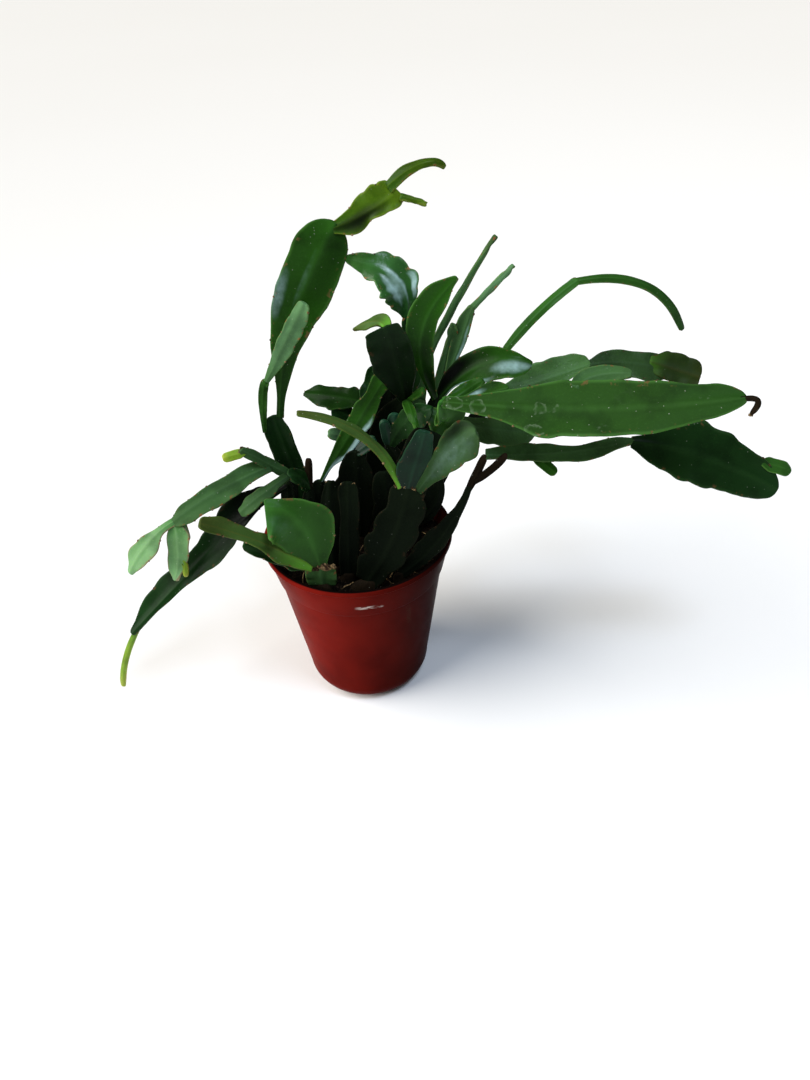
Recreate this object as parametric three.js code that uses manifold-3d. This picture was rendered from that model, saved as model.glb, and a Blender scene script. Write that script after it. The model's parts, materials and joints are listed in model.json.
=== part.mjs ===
// A potted rhipsalis: a flat-stemmed jungle cactus with crenate, chained stem segments, growing
// as separate stems out of one small plastic nursery pot filled with potting soil.
//
// Frame: millimetres, +Z up, origin at the centre of the pot's flat base, which stands on z = 0.
// The long trailing chains reach to +X, and the front of the plant looks to -Y.
//
// A stem is a chain of segments. Each one runs from its parent's tip (or from the stem's foot in
// the soil) through the point `via` to the point `to`, and its broad face looks in the direction
// `faces`, given as azimuth and elevation in degrees (azimuth 0 is +X, 90 is +Y).
import * as THREE from "three";
import { mergeVertices } from "three/addons/utils/BufferGeometryUtils.js";
import Module from "manifold-3d";

const wasm = await Module();
wasm.setup();

// ---------------------------------------------------------------- driving dimensions
const POT = {
  height: 88,
  rimRadius: 45, // outer radius of the lip
  collarRadius: 40.8, // outer radius at the collar's lower edge
  collarHeight: 17,
  collarStep: 1, // how far the body stands back under the collar
  stepHeight: 1, // over which the body steps out to the collar
  bodyBottomRadius: 31, // where the side wall meets the rounded foot
  footRadius: 21, // radius of the flat face that the pot stands on
  footRise: 11, // height of the rounded foot
  footSteps: 4,
  lipBand: 2.2, // height of the small thickened lip
  lipStand: 1, // how far the lip stands out from the collar
  lipUnder: 0.8, // height of the slope under the lip
  lipRound: 0.5, // chamfer of the lip's top edge
  wall: 1.4,
  sides: 36,
};
const DRAIN = { count: 4, radius: 3, circle: 13, sides: 12 };
const SOIL = { top: 80, gap: 0.35, sides: 44 };
const CUT_BEYOND = 1; // how far a cutting solid reaches past the face that it cuts

// The peg of each stem, in a plain hole in the soil. Its first segment starts `rootIn` below the
// top of the peg.
const FOOT = { depth: 8, stand: 4, rootIn: 1, gap: 0.35, sides: 10 };

const BLADE = {
  edge: 1.0, // thickness along the margin
  rib: 2.6, // thickness along the midrib
  stationsPerLobe: 3,
  rightShift: 1 / 3, // how far along a crenation the right margin's areoles stand off the left's
  stationStep: 12, // mm between stations of a segment without crenations
  fewestSteps: 4,
};

// ---------------------------------------------------------------- the stems
// Fields of a segment: from (parent, or "foot"), at (fraction along the parent, 1 is its tip),
// side (-1 to 1, across the parent), via and to (points in mm), width, neck (width of the stalk at
// the base), neckEnd (fraction where the full width is reached), tipStart (fraction where the tip
// starts to round), tipWidth (fraction of the width left at the very tip), lobes (crenations on
// each margin), notch (their depth as a fraction of the half width), fold (degrees by which both
// halves rise from the midrib), twist (degrees turned from base to tip) and faces. Where a segment
// is uneven, left and right take the place of its widths: each margin's distance from the midrib,
// in mm, at even steps from base to tip.
const SEGMENT = {
  at: 0.97,
  side: 0,
  width: 12,
  neck: 4,
  neckEnd: 0.25,
  tipStart: 0.75,
  tipWidth: 0.35,
  lobes: 0,
  notch: 0.16,
  fold: 8,
  twist: 0,
  faces: [268, 35],
};

const STEMS = {
  // The oldest blade, corky at its cut tip, with three younger segments growing from the scar.
  stem_front_broad: {
    color: "#3e5a35",
    foot: { at: [4, -32], width: 16, depth: 5.5, turn: 0 },
    segments: {
      blade: { from: "foot", via: [17, -29, 105], to: [25, -25, 130], tipStart: 0.95,
        tipWidth: 0.92, left: [6, 10, 11.2, 11.8, 11, 8, 7.8],
        right: [5, 7, 9.4, 10.4, 11, 9.8, 9.6], lobes: 4, notch: 0.26, faces: [270, 30] },
      blunt: { from: "blade", to: [33, -24, 156], tipStart: 0.93, tipWidth: 0.8,
        left: [3, 7, 7.2, 5.6, 3.6], right: [3, 4.7, 6.2, 5.4, 4], lobes: 2, notch: 0.08,
        fold: 14, faces: [275, 20] },
      behind: { from: "blade", side: 0.1, to: [36.5, -16, 150.5], width: 17, neck: 6,
        tipWidth: 0.6, faces: [270, 25] },
      open: { from: "blade", side: -0.55, via: [41, -30, 146], to: [53, -33, 159], tipStart: 0.85,
        tipWidth: 0.5, left: [2, 3.2, 5.5, 7.6, 8.8, 7], right: [2, 3.6, 6, 7.4, 8, 6.5],
        lobes: 4, notch: 0.1, faces: [285, 55] },
      arch: { from: "blade", side: 0.4, via: [8, -22, 153], to: [-18, -22, 166], width: 5.5,
        neck: 3, tipWidth: 0.4, lobes: 4, fold: 4, faces: [250, 75] },
    },
  },
  // A cut stump with a ragged corky end and the three blades that sprang from it.
  stem_front_stump: {
    color: "#7b7a4a",
    foot: { at: [-16, -32], width: 12, depth: 5, turn: -30 },
    segments: {
      stump: { from: "foot", to: [-15.7, -33.5, 95.6], width: 14, neck: 12, tipStart: 0.95,
        tipWidth: 0.9, fold: 4, faces: [268, 25] },
      square: { from: "stump", via: [-22.1, -34, 121.4], to: [-34.9, -35, 129.8], tipStart: 0.96,
        tipWidth: 0.9, left: [3, 10, 14, 14.5, 14.5, 14], right: [3, 10, 14, 9, 4.6, 4], lobes: 3,
        notch: 0.04, fold: 6, faces: [272, 42] },
      folded: { from: "stump", side: 0.5, via: [-39, -40, 116], to: [-60, -46, 132],
        tipStart: 0.95, tipWidth: 0.8, left: [2.5, 4.6, 6, 2.8, 2.3, 3, 2.5],
        right: [2.5, 3.5, 4, 4, 4, 4.5, 3.2], lobes: 5, notch: 0.08, fold: 24, faces: [290, 50] },
      lower: { from: "stump", side: 0.8, via: [-33, -36, 105], to: [-46, -38, 114], width: 8,
        neck: 4, lobes: 3, fold: 10, faces: [285, 30] },
    },
  },
  stem_front_round: {
    color: "#33502f",
    foot: { at: [-4, -26], width: 9, depth: 4.4, turn: 0 },
    segments: {
      blade: { from: "foot", via: [-3, -22, 102], to: [-1, -17, 128.5], tipStart: 0.88,
        tipWidth: 0.5, left: [4, 4.5, 4.5, 3.6, 3.6, 5], right: [4, 5, 5.5, 5.5, 5.6, 5.6],
        lobes: 3, notch: 0.14, fold: 12, faces: [268, 30] },
    },
  },
  stem_front_brown: {
    color: "#4a5232",
    foot: { at: [-11, -21], width: 9, depth: 4.4, turn: 0 },
    segments: {
      blade: { from: "foot", via: [-11, -16, 103], to: [-9, -12, 126], tipStart: 0.95,
        tipWidth: 0.7, left: [4, 5, 5, 5, 4.2, 2], right: [4, 5, 5, 6, 5, 3], lobes: 3,
        notch: 0.1, fold: -10, faces: [262, 28] },
    },
  },
  stem_middle_tall: {
    color: "#2f4a2c",
    foot: { at: [1, 1], width: 8, depth: 4.4, turn: 0 },
    segments: {
      blade: { from: "foot", via: [2, -1, 106], to: [3, -3, 135], tipWidth: 0.5,
        left: [3, 8, 11, 10, 6], right: [3, 6.5, 8, 8, 6], lobes: 4, faces: [262, 25] },
      sprout: { from: "blade", to: [12, -2, 140], width: 6, neck: 3, faces: [270, 60] },
    },
  },
  stem_middle_round: {
    color: "#2f4a2c",
    foot: { at: [13, -6], width: 8, depth: 4.4, turn: 10 },
    segments: {
      blade: { from: "foot", via: [14.5, -7, 101], to: [15, -7, 126], width: 13, neck: 6,
        tipStart: 0.7, tipWidth: 0.6, lobes: 3, faces: [274, 28] },
    },
  },
  // Leans out over the right of the rim, forks, and carries the long low chain to the right.
  stem_right_low: {
    color: "#46603a",
    foot: { at: [19, -28], width: 8, depth: 4.4, turn: 20 },
    segments: {
      blade: { from: "foot", via: [37.5, -24, 99], to: [51.5, -21, 125], tipStart: 0.98,
        tipWidth: 0.9, left: [2.5, 5, 6.5, 6.5, 4.4, 2.2, 1.2],
        right: [2.2, 2.8, 3.6, 3.8, 3, 2, 1.3], lobes: 5, notch: 0.1, fold: 12,
        faces: [272, 30] },
      fork: { from: "blade", to: [58.5, -17, 138], width: 3.6, neck: 2.8, faces: [270, 30] },
      spur: { from: "fork", at: 0.2, via: [60.5, -21, 133], to: [66.5, -23, 141.5], width: 3.4,
        neck: 2.6, faces: [270, 40] },
      strap: { from: "fork", via: [91, -13, 134], to: [124, -10, 136],
        left: [3, 4.6, 5, 4.8, 3.6, 2.6, 3.6, 4, 3],
        right: [1.8, 1.4, 2.6, 3.4, 4.4, 5.4, 4.8, 2.4, 1.6], lobes: 6, notch: 0.08, fold: 14,
        faces: [272, 50] },
      bud: { from: "strap", at: 0.32, to: [89, -18, 126.8], width: 5, neck: 3, tipWidth: 0.5,
        faces: [270, 40] },
      droop: { from: "strap", via: [153, -14, 128.5], to: [188, -18, 111.5], tipStart: 0.88,
        tipWidth: 0.35, left: [2.5, 5.2, 10.3, 14.6, 13, 11.6, 9.2, 6],
        right: [2.5, 8, 10.8, 12.6, 12, 11.8, 9.4, 7], lobes: 6, notch: 0.05, fold: 6,
        faces: [258, 38] },
      shoot: { from: "droop", at: 0.84, side: 0.8, to: [195, -12, 117], width: 7, neck: 3,
        tipWidth: 0.15, faces: [270, 50] },
    },
  },
  // Rises through the crown and arches right in the longest and broadest chain.
  stem_right_long: {
    color: "#4c6b3a",
    foot: { at: [27, -4], width: 8, depth: 4.4, turn: 60 },
    segments: {
      carrier: { from: "foot", via: [26, 3, 108], to: [17, 0, 136], width: 7, neck: 6,
        faces: [270, 20] },
      old: { from: "carrier", at: 0.16, via: [37, -4, 104], to: [38.5, -4, 119], tipStart: 0.9,
        tipWidth: 0.7, left: [2, 5, 6.5, 6.5, 5], right: [2, 3, 3, 3, 2.4], faces: [270, 25] },
      pointed: { from: "carrier", to: [16, -2, 149], width: 5, neck: 3, tipWidth: 0.2,
        faces: [270, 20] },
      teal: { from: "carrier", side: -0.5, via: [20, 0, 143], to: [21, 0, 151], width: 6, neck: 3,
        tipWidth: 0.6, faces: [270, 20] },
      bridge: { from: "carrier", via: [26, -3, 148], to: [37, -6, 155], left: [2.5, 4, 5, 5, 3],
        right: [2.5, 5, 8, 8.5, 6], lobes: 3, fold: 16, faces: [300, 50] },
      knee: { from: "bridge", at: 0.9, via: [42, -10, 152], to: [40, -13, 163], tipStart: 0.9,
        tipWidth: 0.7, left: [2.5, 6, 6, 4.6], right: [2.5, 8, 9, 6], fold: 14,
        faces: [300, 25] },
      giant: { from: "knee", via: [101, -22, 160], to: [157, -34, 168], tipStart: 0.95,
        tipWidth: 0.4, left: [2.5, 4, 6.4, 9.5, 11, 12.4, 12.6, 12.6, 11.8, 10.8, 9, 7.8, 4],
        right: [2.5, 3.6, 5.5, 9, 12.6, 12.8, 12.6, 12.8, 12.4, 10.6, 8, 6.4, 3.4], lobes: 7,
        notch: 0.05, fold: 5, faces: [264, 52] },
      tongue: { from: "knee", at: 0.9, via: [50.2, -7, 162.9], to: [58.7, -5, 166.9],
        tipStart: 0.85, left: [2, 3, 3.4, 3, 2], right: [2, 3, 3.4, 3, 2], faces: [270, 50] },
      dry: { from: "giant", via: [161, -35, 167.5], to: [159, -36, 161.5], width: 2.2, neck: 1.8,
        faces: [270, 40] },
      shoulder: { from: "giant", at: 0.07, side: 0.2, via: [61.3, -9, 162.5], to: [69, -7, 163.5],
        tipStart: 0.8, tipWidth: 0.4, left: [2.5, 4, 5, 4.6, 2], right: [2.5, 3, 3, 3, 2],
        faces: [262, 55] },
      side_lobe: { from: "giant", at: 0.44, side: 0.7, via: [103.9, -10, 168.3],
        to: [118.3, -12.1, 169.3], tipStart: 0.85, tipWidth: 0.4, left: [3, 4.5, 4.2, 4, 2.6],
        right: [2, 4, 4, 3.5, 2.4], faces: [264, 52] },
      under: { from: "knee", at: 0.2, via: [67, 2, 138], to: [84, 8, 133],
        left: [2, 4, 5, 4.6, 2], right: [2, 6, 8, 7, 3], lobes: 4, fold: 10, faces: [270, 40] },
    },
  },
  // A chain of textured old segments low behind the long one.
  stem_right_back: {
    color: "#3f5a33",
    foot: { at: [31, 12], width: 8, depth: 4.4, turn: 60 },
    segments: {
      carrier: { from: "foot", via: [46, 16, 117], to: [67, 16, 149], width: 7, neck: 6,
        faces: [280, 25] },
      textured: { from: "carrier", via: [90, 22, 151], to: [111, 28, 154], tipStart: 0.95,
        tipWidth: 0.6, left: [2.5, 4.4, 7.2, 8.4, 8.6, 7.6, 4.6],
        right: [2.5, 4.5, 5, 5, 4.5, 2.4, 1], lobes: 4, notch: 0.06, fold: 10, faces: [270, 45] },
      outer: { from: "textured", via: [129, 31, 152], to: [149, 32, 146], tipStart: 0.85,
        tipWidth: 0.4, left: [2, 5.8, 6.4, 6.3, 6.5, 5.5], right: [2, 5, 6, 8, 7.6, 5.5],
        lobes: 3, notch: 0.06, fold: 8, faces: [270, 48] },
      last: { from: "outer", at: 0.75, side: 0.3, to: [162.5, 28, 144], tipStart: 0.88,
        tipWidth: 0.6, left: [3, 6.7, 8.4, 7.8, 6], right: [3, 6, 6.5, 6.5, 6], lobes: 3,
        notch: 0.08, faces: [258, 40] },
    },
  },
  // Branches at one old dark segment into four chains that stand up and lean right.
  stem_upper_right: {
    color: "#5d7f3b",
    foot: { at: [22, 17], width: 8, depth: 4.4, turn: 60 },
    segments: {
      carrier: { from: "foot", via: [30, 18, 112], to: [40, 10, 153], width: 8, neck: 6,
        faces: [270, 20] },
      bright: { from: "carrier", via: [33.5, 4, 183], to: [49, 8, 206], tipStart: 0.95,
        tipWidth: 0.6, left: [1.5, 1.5, 3.8, 6.4, 8, 7, 1.5],
        right: [1.5, 4.6, 6.4, 5.8, 5.2, 4.2, 1], lobes: 4, notch: 0.1, fold: 18, twist: 15,
        faces: [262, 10] },
      low: { from: "carrier", at: 0.6, side: 0.8, to: [29.8, 24, 146.3], tipWidth: 0.8,
        left: [2.5, 4, 4], right: [2.5, 6, 6], faces: [270, 20] },
      tall: { from: "low", via: [46.9, 34, 178], to: [69, 46, 208.5],
        left: [3.4, 2.6, 2, 1.8, 1.5, 1.1, 0.7], right: [6, 2.4, 1.2, 1.6, 1.4, 1.1, 0.7],
        faces: [270, 20] },
      middle: { from: "carrier", side: -0.5, via: [50, 22, 168], to: [57, 28, 185], tipStart: 0.9,
        tipWidth: 0.7, left: [1.5, 1.5, 2.8, 4, 4.4, 4.4, 2],
        right: [1.5, 1.1, 1.7, 2.2, 2.6, 2.2, 1.6], lobes: 4, notch: 0.1, fold: 12,
        faces: [268, 25] },
      shaded: { from: "carrier", at: 0.9, side: -0.5, via: [45.4, 23, 168], to: [48.5, 25, 178.5],
        tipStart: 0.9, tipWidth: 0.7, left: [1.5, 3, 2, 0.9, 1.3, 1.2],
        right: [1.5, 3, 4.2, 4, 3.2, 1.5], faces: [268, 25] },
      finger: { from: "middle", to: [76, 38, 198], left: [1.6, 1.4, 1.6, 1.5, 1],
        right: [1.6, 1.3, 1.3, 1.2, 0.8], faces: [270, 30] },
      dark: { from: "carrier", side: -0.3, via: [60, 5, 169], to: [79.6, 2, 169], tipStart: 0.8,
        tipWidth: 0.45, left: [2, 6.2, 7.6, 6.8, 5.4, 3.2, 2],
        right: [2, 1.5, 5, 8.6, 9.6, 9, 6.4], lobes: 3, notch: 0.05, fold: 16, faces: [280, 45] },
      whip: { from: "dark", at: 0.72, side: 0.85, via: [83.9, 16, 185.8], to: [101.4, 26, 194.7],
        width: 4.2, neck: 3.4, tipWidth: 0.9, faces: [270, 45] },
      tail: { from: "whip", via: [132.2, 31, 188.2], to: [152.4, 34, 165.4], width: 4, neck: 3.2,
        tipWidth: 0.5, faces: [270, 45] },
    },
  },
  stem_upper: {
    color: "#35532f",
    foot: { at: [10, 22], width: 8, depth: 4.4, turn: 0 },
    segments: {
      carrier: { from: "foot", via: [15, 17, 124], to: [27, 7, 153], left: [3, 6, 8, 8, 6],
        right: [3, 7, 11, 8, 3], faces: [270, 20] },
      hidden: { from: "carrier", at: 0.6, via: [18, 19, 140], to: [20.5, 20, 153], width: 13,
        neck: 7, tipWidth: 0.6, faces: [270, 25] },
      broad: { from: "carrier", via: [23, 1, 175], to: [19, -3, 192], tipStart: 0.96,
        tipWidth: 0.9, left: [2.5, 7, 10, 11, 10.4, 9], right: [2.5, 5, 7.5, 8, 8, 6], lobes: 4,
        notch: 0.06, fold: 6, faces: [266, 15] },
      hook: { from: "broad", via: [15, 1, 192], to: [6, 3, 188.5], left: [1, 1.2, 2.4, 2.6, 0.6],
        right: [3, 4.8, 3.8, 1.6, 0.6], faces: [270, 60] },
      neck: { from: "carrier", via: [31, 16, 170], to: [28, 17, 187], width: 8, neck: 4,
        faces: [270, 20] },
      crown: { from: "neck", via: [23.7, 20, 202.4], to: [4.4, 26, 208.8], tipStart: 0.9,
        tipWidth: 0.5, left: [2, 8, 10, 10.4, 7.4, 5.4, 1.6], right: [2, 4.6, 8, 9, 8.4, 4.6, 3],
        lobes: 6, notch: 0.2, fold: 12, faces: [280, 35] },
      leaf: { from: "carrier", at: 0.97, via: [27.5, -9, 158], to: [29.5, -18, 153.6],
        left: [1.5, 1.6, 1.9, 1.8, 1], right: [1.5, 2.4, 2.6, 2.2, 1], faces: [270, 40] },
      twig: { from: "carrier", to: [34, 0, 161], width: 5, neck: 3, faces: [270, 60] },
    },
  },
  stem_bright: {
    color: "#7f9a45",
    foot: { at: [-12, 4], width: 8, depth: 4.4, turn: 0 },
    segments: {
      carrier: { from: "foot", via: [-16, 9, 96], to: [-15, 8, 113], width: 8, neck: 6,
        tipStart: 0.9, tipWidth: 0.6, faces: [270, 20] },
      strap: { from: "carrier", via: [4.5, 7.5, 143.5], to: [19, 11, 164], tipStart: 0.92,
        tipWidth: 0.5, left: [1, 2.2, 3.3, 4.4, 4.6, 4.8, 3.6, 5, 4],
        right: [1, 1.2, 4.9, 5.6, 5.9, 5.4, 3.6, 3.6, 3.5], lobes: 6, notch: 0.06, fold: 10,
        faces: [266, 25] },
    },
  },
  stem_back_left: {
    color: "#4f6b3c",
    foot: { at: [2, 31], width: 8, depth: 4.4, turn: 0 },
    segments: {
      carrier: { from: "foot", via: [4, 29, 114], to: [7, 23, 145], width: 12, neck: 6,
        faces: [270, 20] },
      level: { from: "carrier", via: [-5, 28, 144.5], to: [-21, 34, 144],
        left: [2, 4, 7, 7.6, 5.6, 1.8], right: [2, 6.6, 5.6, 5.7, 5.6, 3], lobes: 5, notch: 0.1,
        faces: [270, 60] },
      inner: { from: "carrier", at: 0.75, via: [-2, 24, 138], to: [-8, 24, 141], width: 9,
        neck: 3.5, lobes: 2, faces: [270, 30] },
      pale: { from: "carrier", at: 0.6, via: [-3, 18, 130], to: [-10, 14, 134], width: 6, neck: 3,
        faces: [270, 30] },
      top: { from: "carrier", via: [11, 29, 149], to: [14, 33, 157], width: 9, neck: 4, lobes: 2,
        faces: [270, 20] },
    },
  },
  // The tallest chain: it stands up at the left, and its soft tip bends over to the right.
  stem_left_tall: {
    color: "#5f8442",
    foot: { at: [-24, 17], width: 9, depth: 4.4, turn: 0 },
    segments: {
      keeled: { from: "foot", via: [-28, 16, 113], to: [-34, 16, 144], tipStart: 0.9,
        tipWidth: 0.7, left: [3.5, 4.7, 5.5, 6.5, 7.2, 7, 5],
        right: [3.5, 4.7, 5.6, 6, 5.7, 5.4, 4.4], lobes: 5, notch: 0.1, fold: 18,
        faces: [272, 20] },
      stalk: { from: "keeled", at: 0.9, side: 0.95, via: [-36.6, 14.5, 154.5],
        to: [-33.8, 14, 162], tipWidth: 0.9, left: [0.8, 1.9, 2.1, 2], right: [0.8, 2, 2, 1.8],
        faces: [262, 15] },
      slender: { from: "stalk", to: [-13, 11, 198], tipStart: 0.95, tipWidth: 0.75,
        left: [1.3, 2.2, 3.3, 3.4, 3.3, 2.4], right: [1.3, 3, 4.6, 4.8, 4.9, 3.4], lobes: 5,
        notch: 0.1, fold: 6, faces: [262, 15] },
      large: { from: "keeled", side: -0.75, via: [-20.5, 19, 185], to: [2, 26, 224],
        tipStart: 0.86, tipWidth: 0.15, left: [1.7, 1.5, 3.5, 7, 9, 11.2, 11, 12.2, 11],
        right: [1.8, 2.6, 4.6, 6.2, 8.7, 11.6, 12.6, 11.8, 10.6], lobes: 5, notch: 0.05, fold: 5,
        faces: [266, 8] },
      soft: { from: "large", via: [17, 27, 228], to: [27, 28, 235], tipStart: 0.96, tipWidth: 0.9,
        left: [2.5, 4.6, 7.6, 8.1, 7.2, 5.8], right: [2, 6.2, 3.9, 4.4, 5.4, 4.8], lobes: 4,
        notch: 0.1, fold: 12, faces: [275, 35] },
      finger: { from: "soft", at: 0.88, side: 0.5, via: [37.1, 30, 243.2], to: [46.5, 33, 241],
        tipWidth: 0.7, left: [1.6, 3, 2.2, 1.8, 1.7, 1.3], right: [3.2, 2.4, 1.8, 1.6, 1.6, 1.2],
        faces: [270, 40] },
      short_finger: { from: "soft", at: 0.95, side: -0.6, to: [38.5, 24, 230], tipWidth: 0.7,
        left: [1.4, 1.4, 1.2, 1.1, 0.9], right: [1.4, 1.3, 1.2, 1.1, 0.9], faces: [270, 40] },
    },
  },
  stem_left_low: {
    color: "#6b8050",
    foot: { at: [-30, 7], width: 8, depth: 4.4, turn: 80 },
    segments: {
      carrier: { from: "foot", via: [-30, 5, 102], to: [-28, 5, 119], width: 7, neck: 6,
        faces: [272, 20] },
      grey: { from: "carrier", via: [-38, 3, 127.5], to: [-48, 0, 137], width: 5.5, neck: 4,
        lobes: 3, fold: 10, faces: [270, 40] },
      bud: { from: "grey", at: 0.9, to: [-56, -2, 134], width: 4.6, neck: 2.6, tipWidth: 0.6,
        faces: [270, 40] },
      cane: { from: "grey", at: 0.4, side: 0.3, via: [-61, -8, 120], to: [-80, -18, 112],
        tipStart: 0.97, tipWidth: 0.9, left: [2.5, 3.6, 6.4, 6.8, 6.8, 6.4, 3],
        right: [4, 5.8, 5.1, 4.8, 4.3, 3.8, 2], lobes: 5, notch: 0.06, fold: 10,
        faces: [262, 50] },
      pale_blade: { from: "cane", via: [-91, -24, 106], to: [-100.4, -30, 94.6],
        left: [2, 2.2, 6.8, 5.8, 2.2], right: [2, 2.6, 4.3, 5.2, 2.2], lobes: 3, notch: 0.08,
        faces: [255, 50] },
      pale_fork: { from: "cane", via: [-78.8, -24, 100], to: [-81.6, -29, 88], tipWidth: 0.7,
        left: [2, 6, 5.2, 4.6, 2.6, 1], right: [2, 4.6, 5, 4.6, 4.3, 1.6], faces: [262, 30] },
      prong: { from: "pale_fork", at: 0.66, side: 0.6, via: [-76.4, -27, 94.5],
        to: [-76.8, -29, 89.9], width: 2.8, neck: 2.8, tipWidth: 0.4, faces: [262, 30] },
      hook: { from: "cane", at: 0.9, side: 0.3, to: [-74, -21, 104], width: 3, neck: 2.6,
        faces: [270, 40] },
    },
  },
  // Trails out over the left of the rim, almost down to the height of the pot's middle.
  stem_left_trail: {
    color: "#4f6f37",
    foot: { at: [-31, -9], width: 8, depth: 4.4, turn: 70 },
    segments: {
      carrier: { from: "foot", via: [-30, -6, 102], to: [-29, -4, 121], width: 7, neck: 6,
        faces: [272, 20] },
      blade: { from: "carrier", via: [-60.5, -16, 99.5], to: [-106, -36, 63], tipStart: 0.98,
        tipWidth: 0.9, left: [2, 1.5, 1.2, 3.6, 8, 7.4, 3.6, 1.9, 1.4],
        right: [2, 5, 10, 12, 9, 7.5, 8, 7.4, 2], lobes: 8, notch: 0.1, fold: 12,
        faces: [255, 55] },
      thread: { from: "blade", via: [-112.5, -37, 48], to: [-117.5, -38, 31], width: 3, neck: 2.6,
        tipWidth: 0.5, fold: 0, faces: [270, 20] },
    },
  },
  stem_left_curl: {
    color: "#6f8b44",
    foot: { at: [-21, -9], width: 8, depth: 4.4, turn: 0 },
    segments: {
      carrier: { from: "foot", via: [-21, -8, 102], to: [-19, -7, 119], width: 6, neck: 6,
        faces: [270, 20] },
      knee: { from: "carrier", via: [-22, -9, 126], to: [-27, -12, 129], width: 8, neck: 4,
        faces: [280, 60] },
      blade: { from: "knee", via: [-37, -19, 126], to: [-48, -24, 120], tipStart: 0.95,
        tipWidth: 0.8, left: [1.5, 2, 3.6, 3.6, 4.7, 3], right: [2.6, 2.8, 3, 3.6, 3.9, 2],
        lobes: 4, notch: 0.1, faces: [262, 60] },
      spike: { from: "carrier", to: [-18, -4, 133], width: 3.4, neck: 3, tipWidth: 0.6, fold: 0,
        faces: [270, 20] },
    },
  },
};

// ---------------------------------------------------------------- solids and booleans
const toSolid = (geometry) => {
  const bare = geometry.index ? geometry : geometry.clone();
  bare.deleteAttribute("normal");
  bare.deleteAttribute("uv");
  const merged = mergeVertices(bare);
  return new wasm.Manifold(
    new wasm.Mesh({
      numProp: 3,
      vertProperties: new Float32Array(merged.attributes.position.array),
      triVerts: new Uint32Array(merged.index.array),
    }),
  );
};

const toGeometry = (solid) => {
  const mesh = solid.getMesh();
  const geometry = new THREE.BufferGeometry();
  geometry.setAttribute("position", new THREE.BufferAttribute(mesh.vertProperties, 3));
  geometry.setIndex(new THREE.BufferAttribute(mesh.triVerts, 1));
  geometry.computeVertexNormals();
  return geometry;
};

const addMesh = (group, name, solid, material) => {
  const mesh = new THREE.Mesh(toGeometry(solid), new THREE.MeshStandardMaterial(material));
  mesh.name = name;
  group.add(mesh);
};

// A closed prism with an upright axis and an elliptical section.
const uprightEllipse = ({ at, width, depth, turn, bottom, top, sides }) => {
  const geometry = new THREE.CylinderGeometry(0.5, 0.5, top - bottom, sides);
  geometry.rotateX(Math.PI / 2);
  geometry.scale(width, depth, 1);
  geometry.rotateZ(THREE.MathUtils.degToRad(turn));
  geometry.translate(at[0], at[1], (top + bottom) / 2);
  return toSolid(geometry);
};

// ---------------------------------------------------------------- pot and soil
// The quarter ellipse between the flat base and the side wall, drawn `inset` inside the outside.
const roundedFoot = (inset) => {
  const reach = POT.bodyBottomRadius - POT.footRadius;
  const points = [];
  for (let i = 0; i <= POT.footSteps; i += 1) {
    const angle = (i / POT.footSteps) * (Math.PI / 2);
    const radius = POT.footRadius + (reach - inset) * Math.sin(angle);
    const z = inset + (POT.footRise - inset) * (1 - Math.cos(angle));
    points.push(new THREE.Vector2(radius, z));
  }
  return points;
};

const potOuter = () => {
  const collarBottom = POT.height - POT.collarHeight;
  const bodyTop = POT.collarRadius - POT.collarStep;
  return [
    new THREE.Vector2(0, 0),
    ...roundedFoot(0),
    new THREE.Vector2(bodyTop, collarBottom - POT.stepHeight),
    new THREE.Vector2(POT.collarRadius, collarBottom),
    new THREE.Vector2(POT.rimRadius - POT.lipStand, POT.height - POT.lipBand - POT.lipUnder),
    new THREE.Vector2(POT.rimRadius, POT.height - POT.lipBand),
    new THREE.Vector2(POT.rimRadius, POT.height - POT.lipRound),
    new THREE.Vector2(POT.rimRadius - POT.lipRound, POT.height),
  ];
};

// The inside follows the outside one wall thickness in, down to the floor of the pot.
const insideRadius = (z) => {
  const collarBottom = POT.height - POT.collarHeight;
  const bodyTop = POT.collarRadius - POT.collarStep - POT.wall;
  if (z >= collarBottom) {
    const share = (z - collarBottom) / POT.collarHeight;
    return bodyTop + share * (POT.rimRadius - POT.lipStand - POT.wall - bodyTop);
  }
  const share = (z - POT.footRise) / (collarBottom - POT.footRise);
  return POT.bodyBottomRadius - POT.wall + share * (bodyTop - POT.bodyBottomRadius + POT.wall);
};

const lathe = (profile, sides) => {
  const geometry = new THREE.LatheGeometry(profile, sides);
  geometry.rotateX(Math.PI / 2); // the lathe's axis is Y; the pot's is Z
  return geometry;
};

const makePot = () => {
  const collarBottom = POT.height - POT.collarHeight;
  const inner = [
    new THREE.Vector2(insideRadius(POT.height), POT.height),
    new THREE.Vector2(insideRadius(collarBottom), collarBottom),
    ...roundedFoot(POT.wall).reverse(),
    new THREE.Vector2(0, POT.wall),
  ];
  let pot = toSolid(lathe([...potOuter(), ...inner], POT.sides));
  for (let i = 0; i < DRAIN.count; i += 1) {
    const angle = ((i + 0.5) * 2 * Math.PI) / DRAIN.count;
    const at = [DRAIN.circle * Math.cos(angle), DRAIN.circle * Math.sin(angle)];
    const width = 2 * DRAIN.radius;
    const plug = { at, width, depth: width, turn: 0, sides: DRAIN.sides };
    const ends = { bottom: -CUT_BEYOND, top: POT.wall + CUT_BEYOND };
    pot = pot.subtract(uprightEllipse({ ...plug, ...ends }));
  }
  return pot;
};

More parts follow.
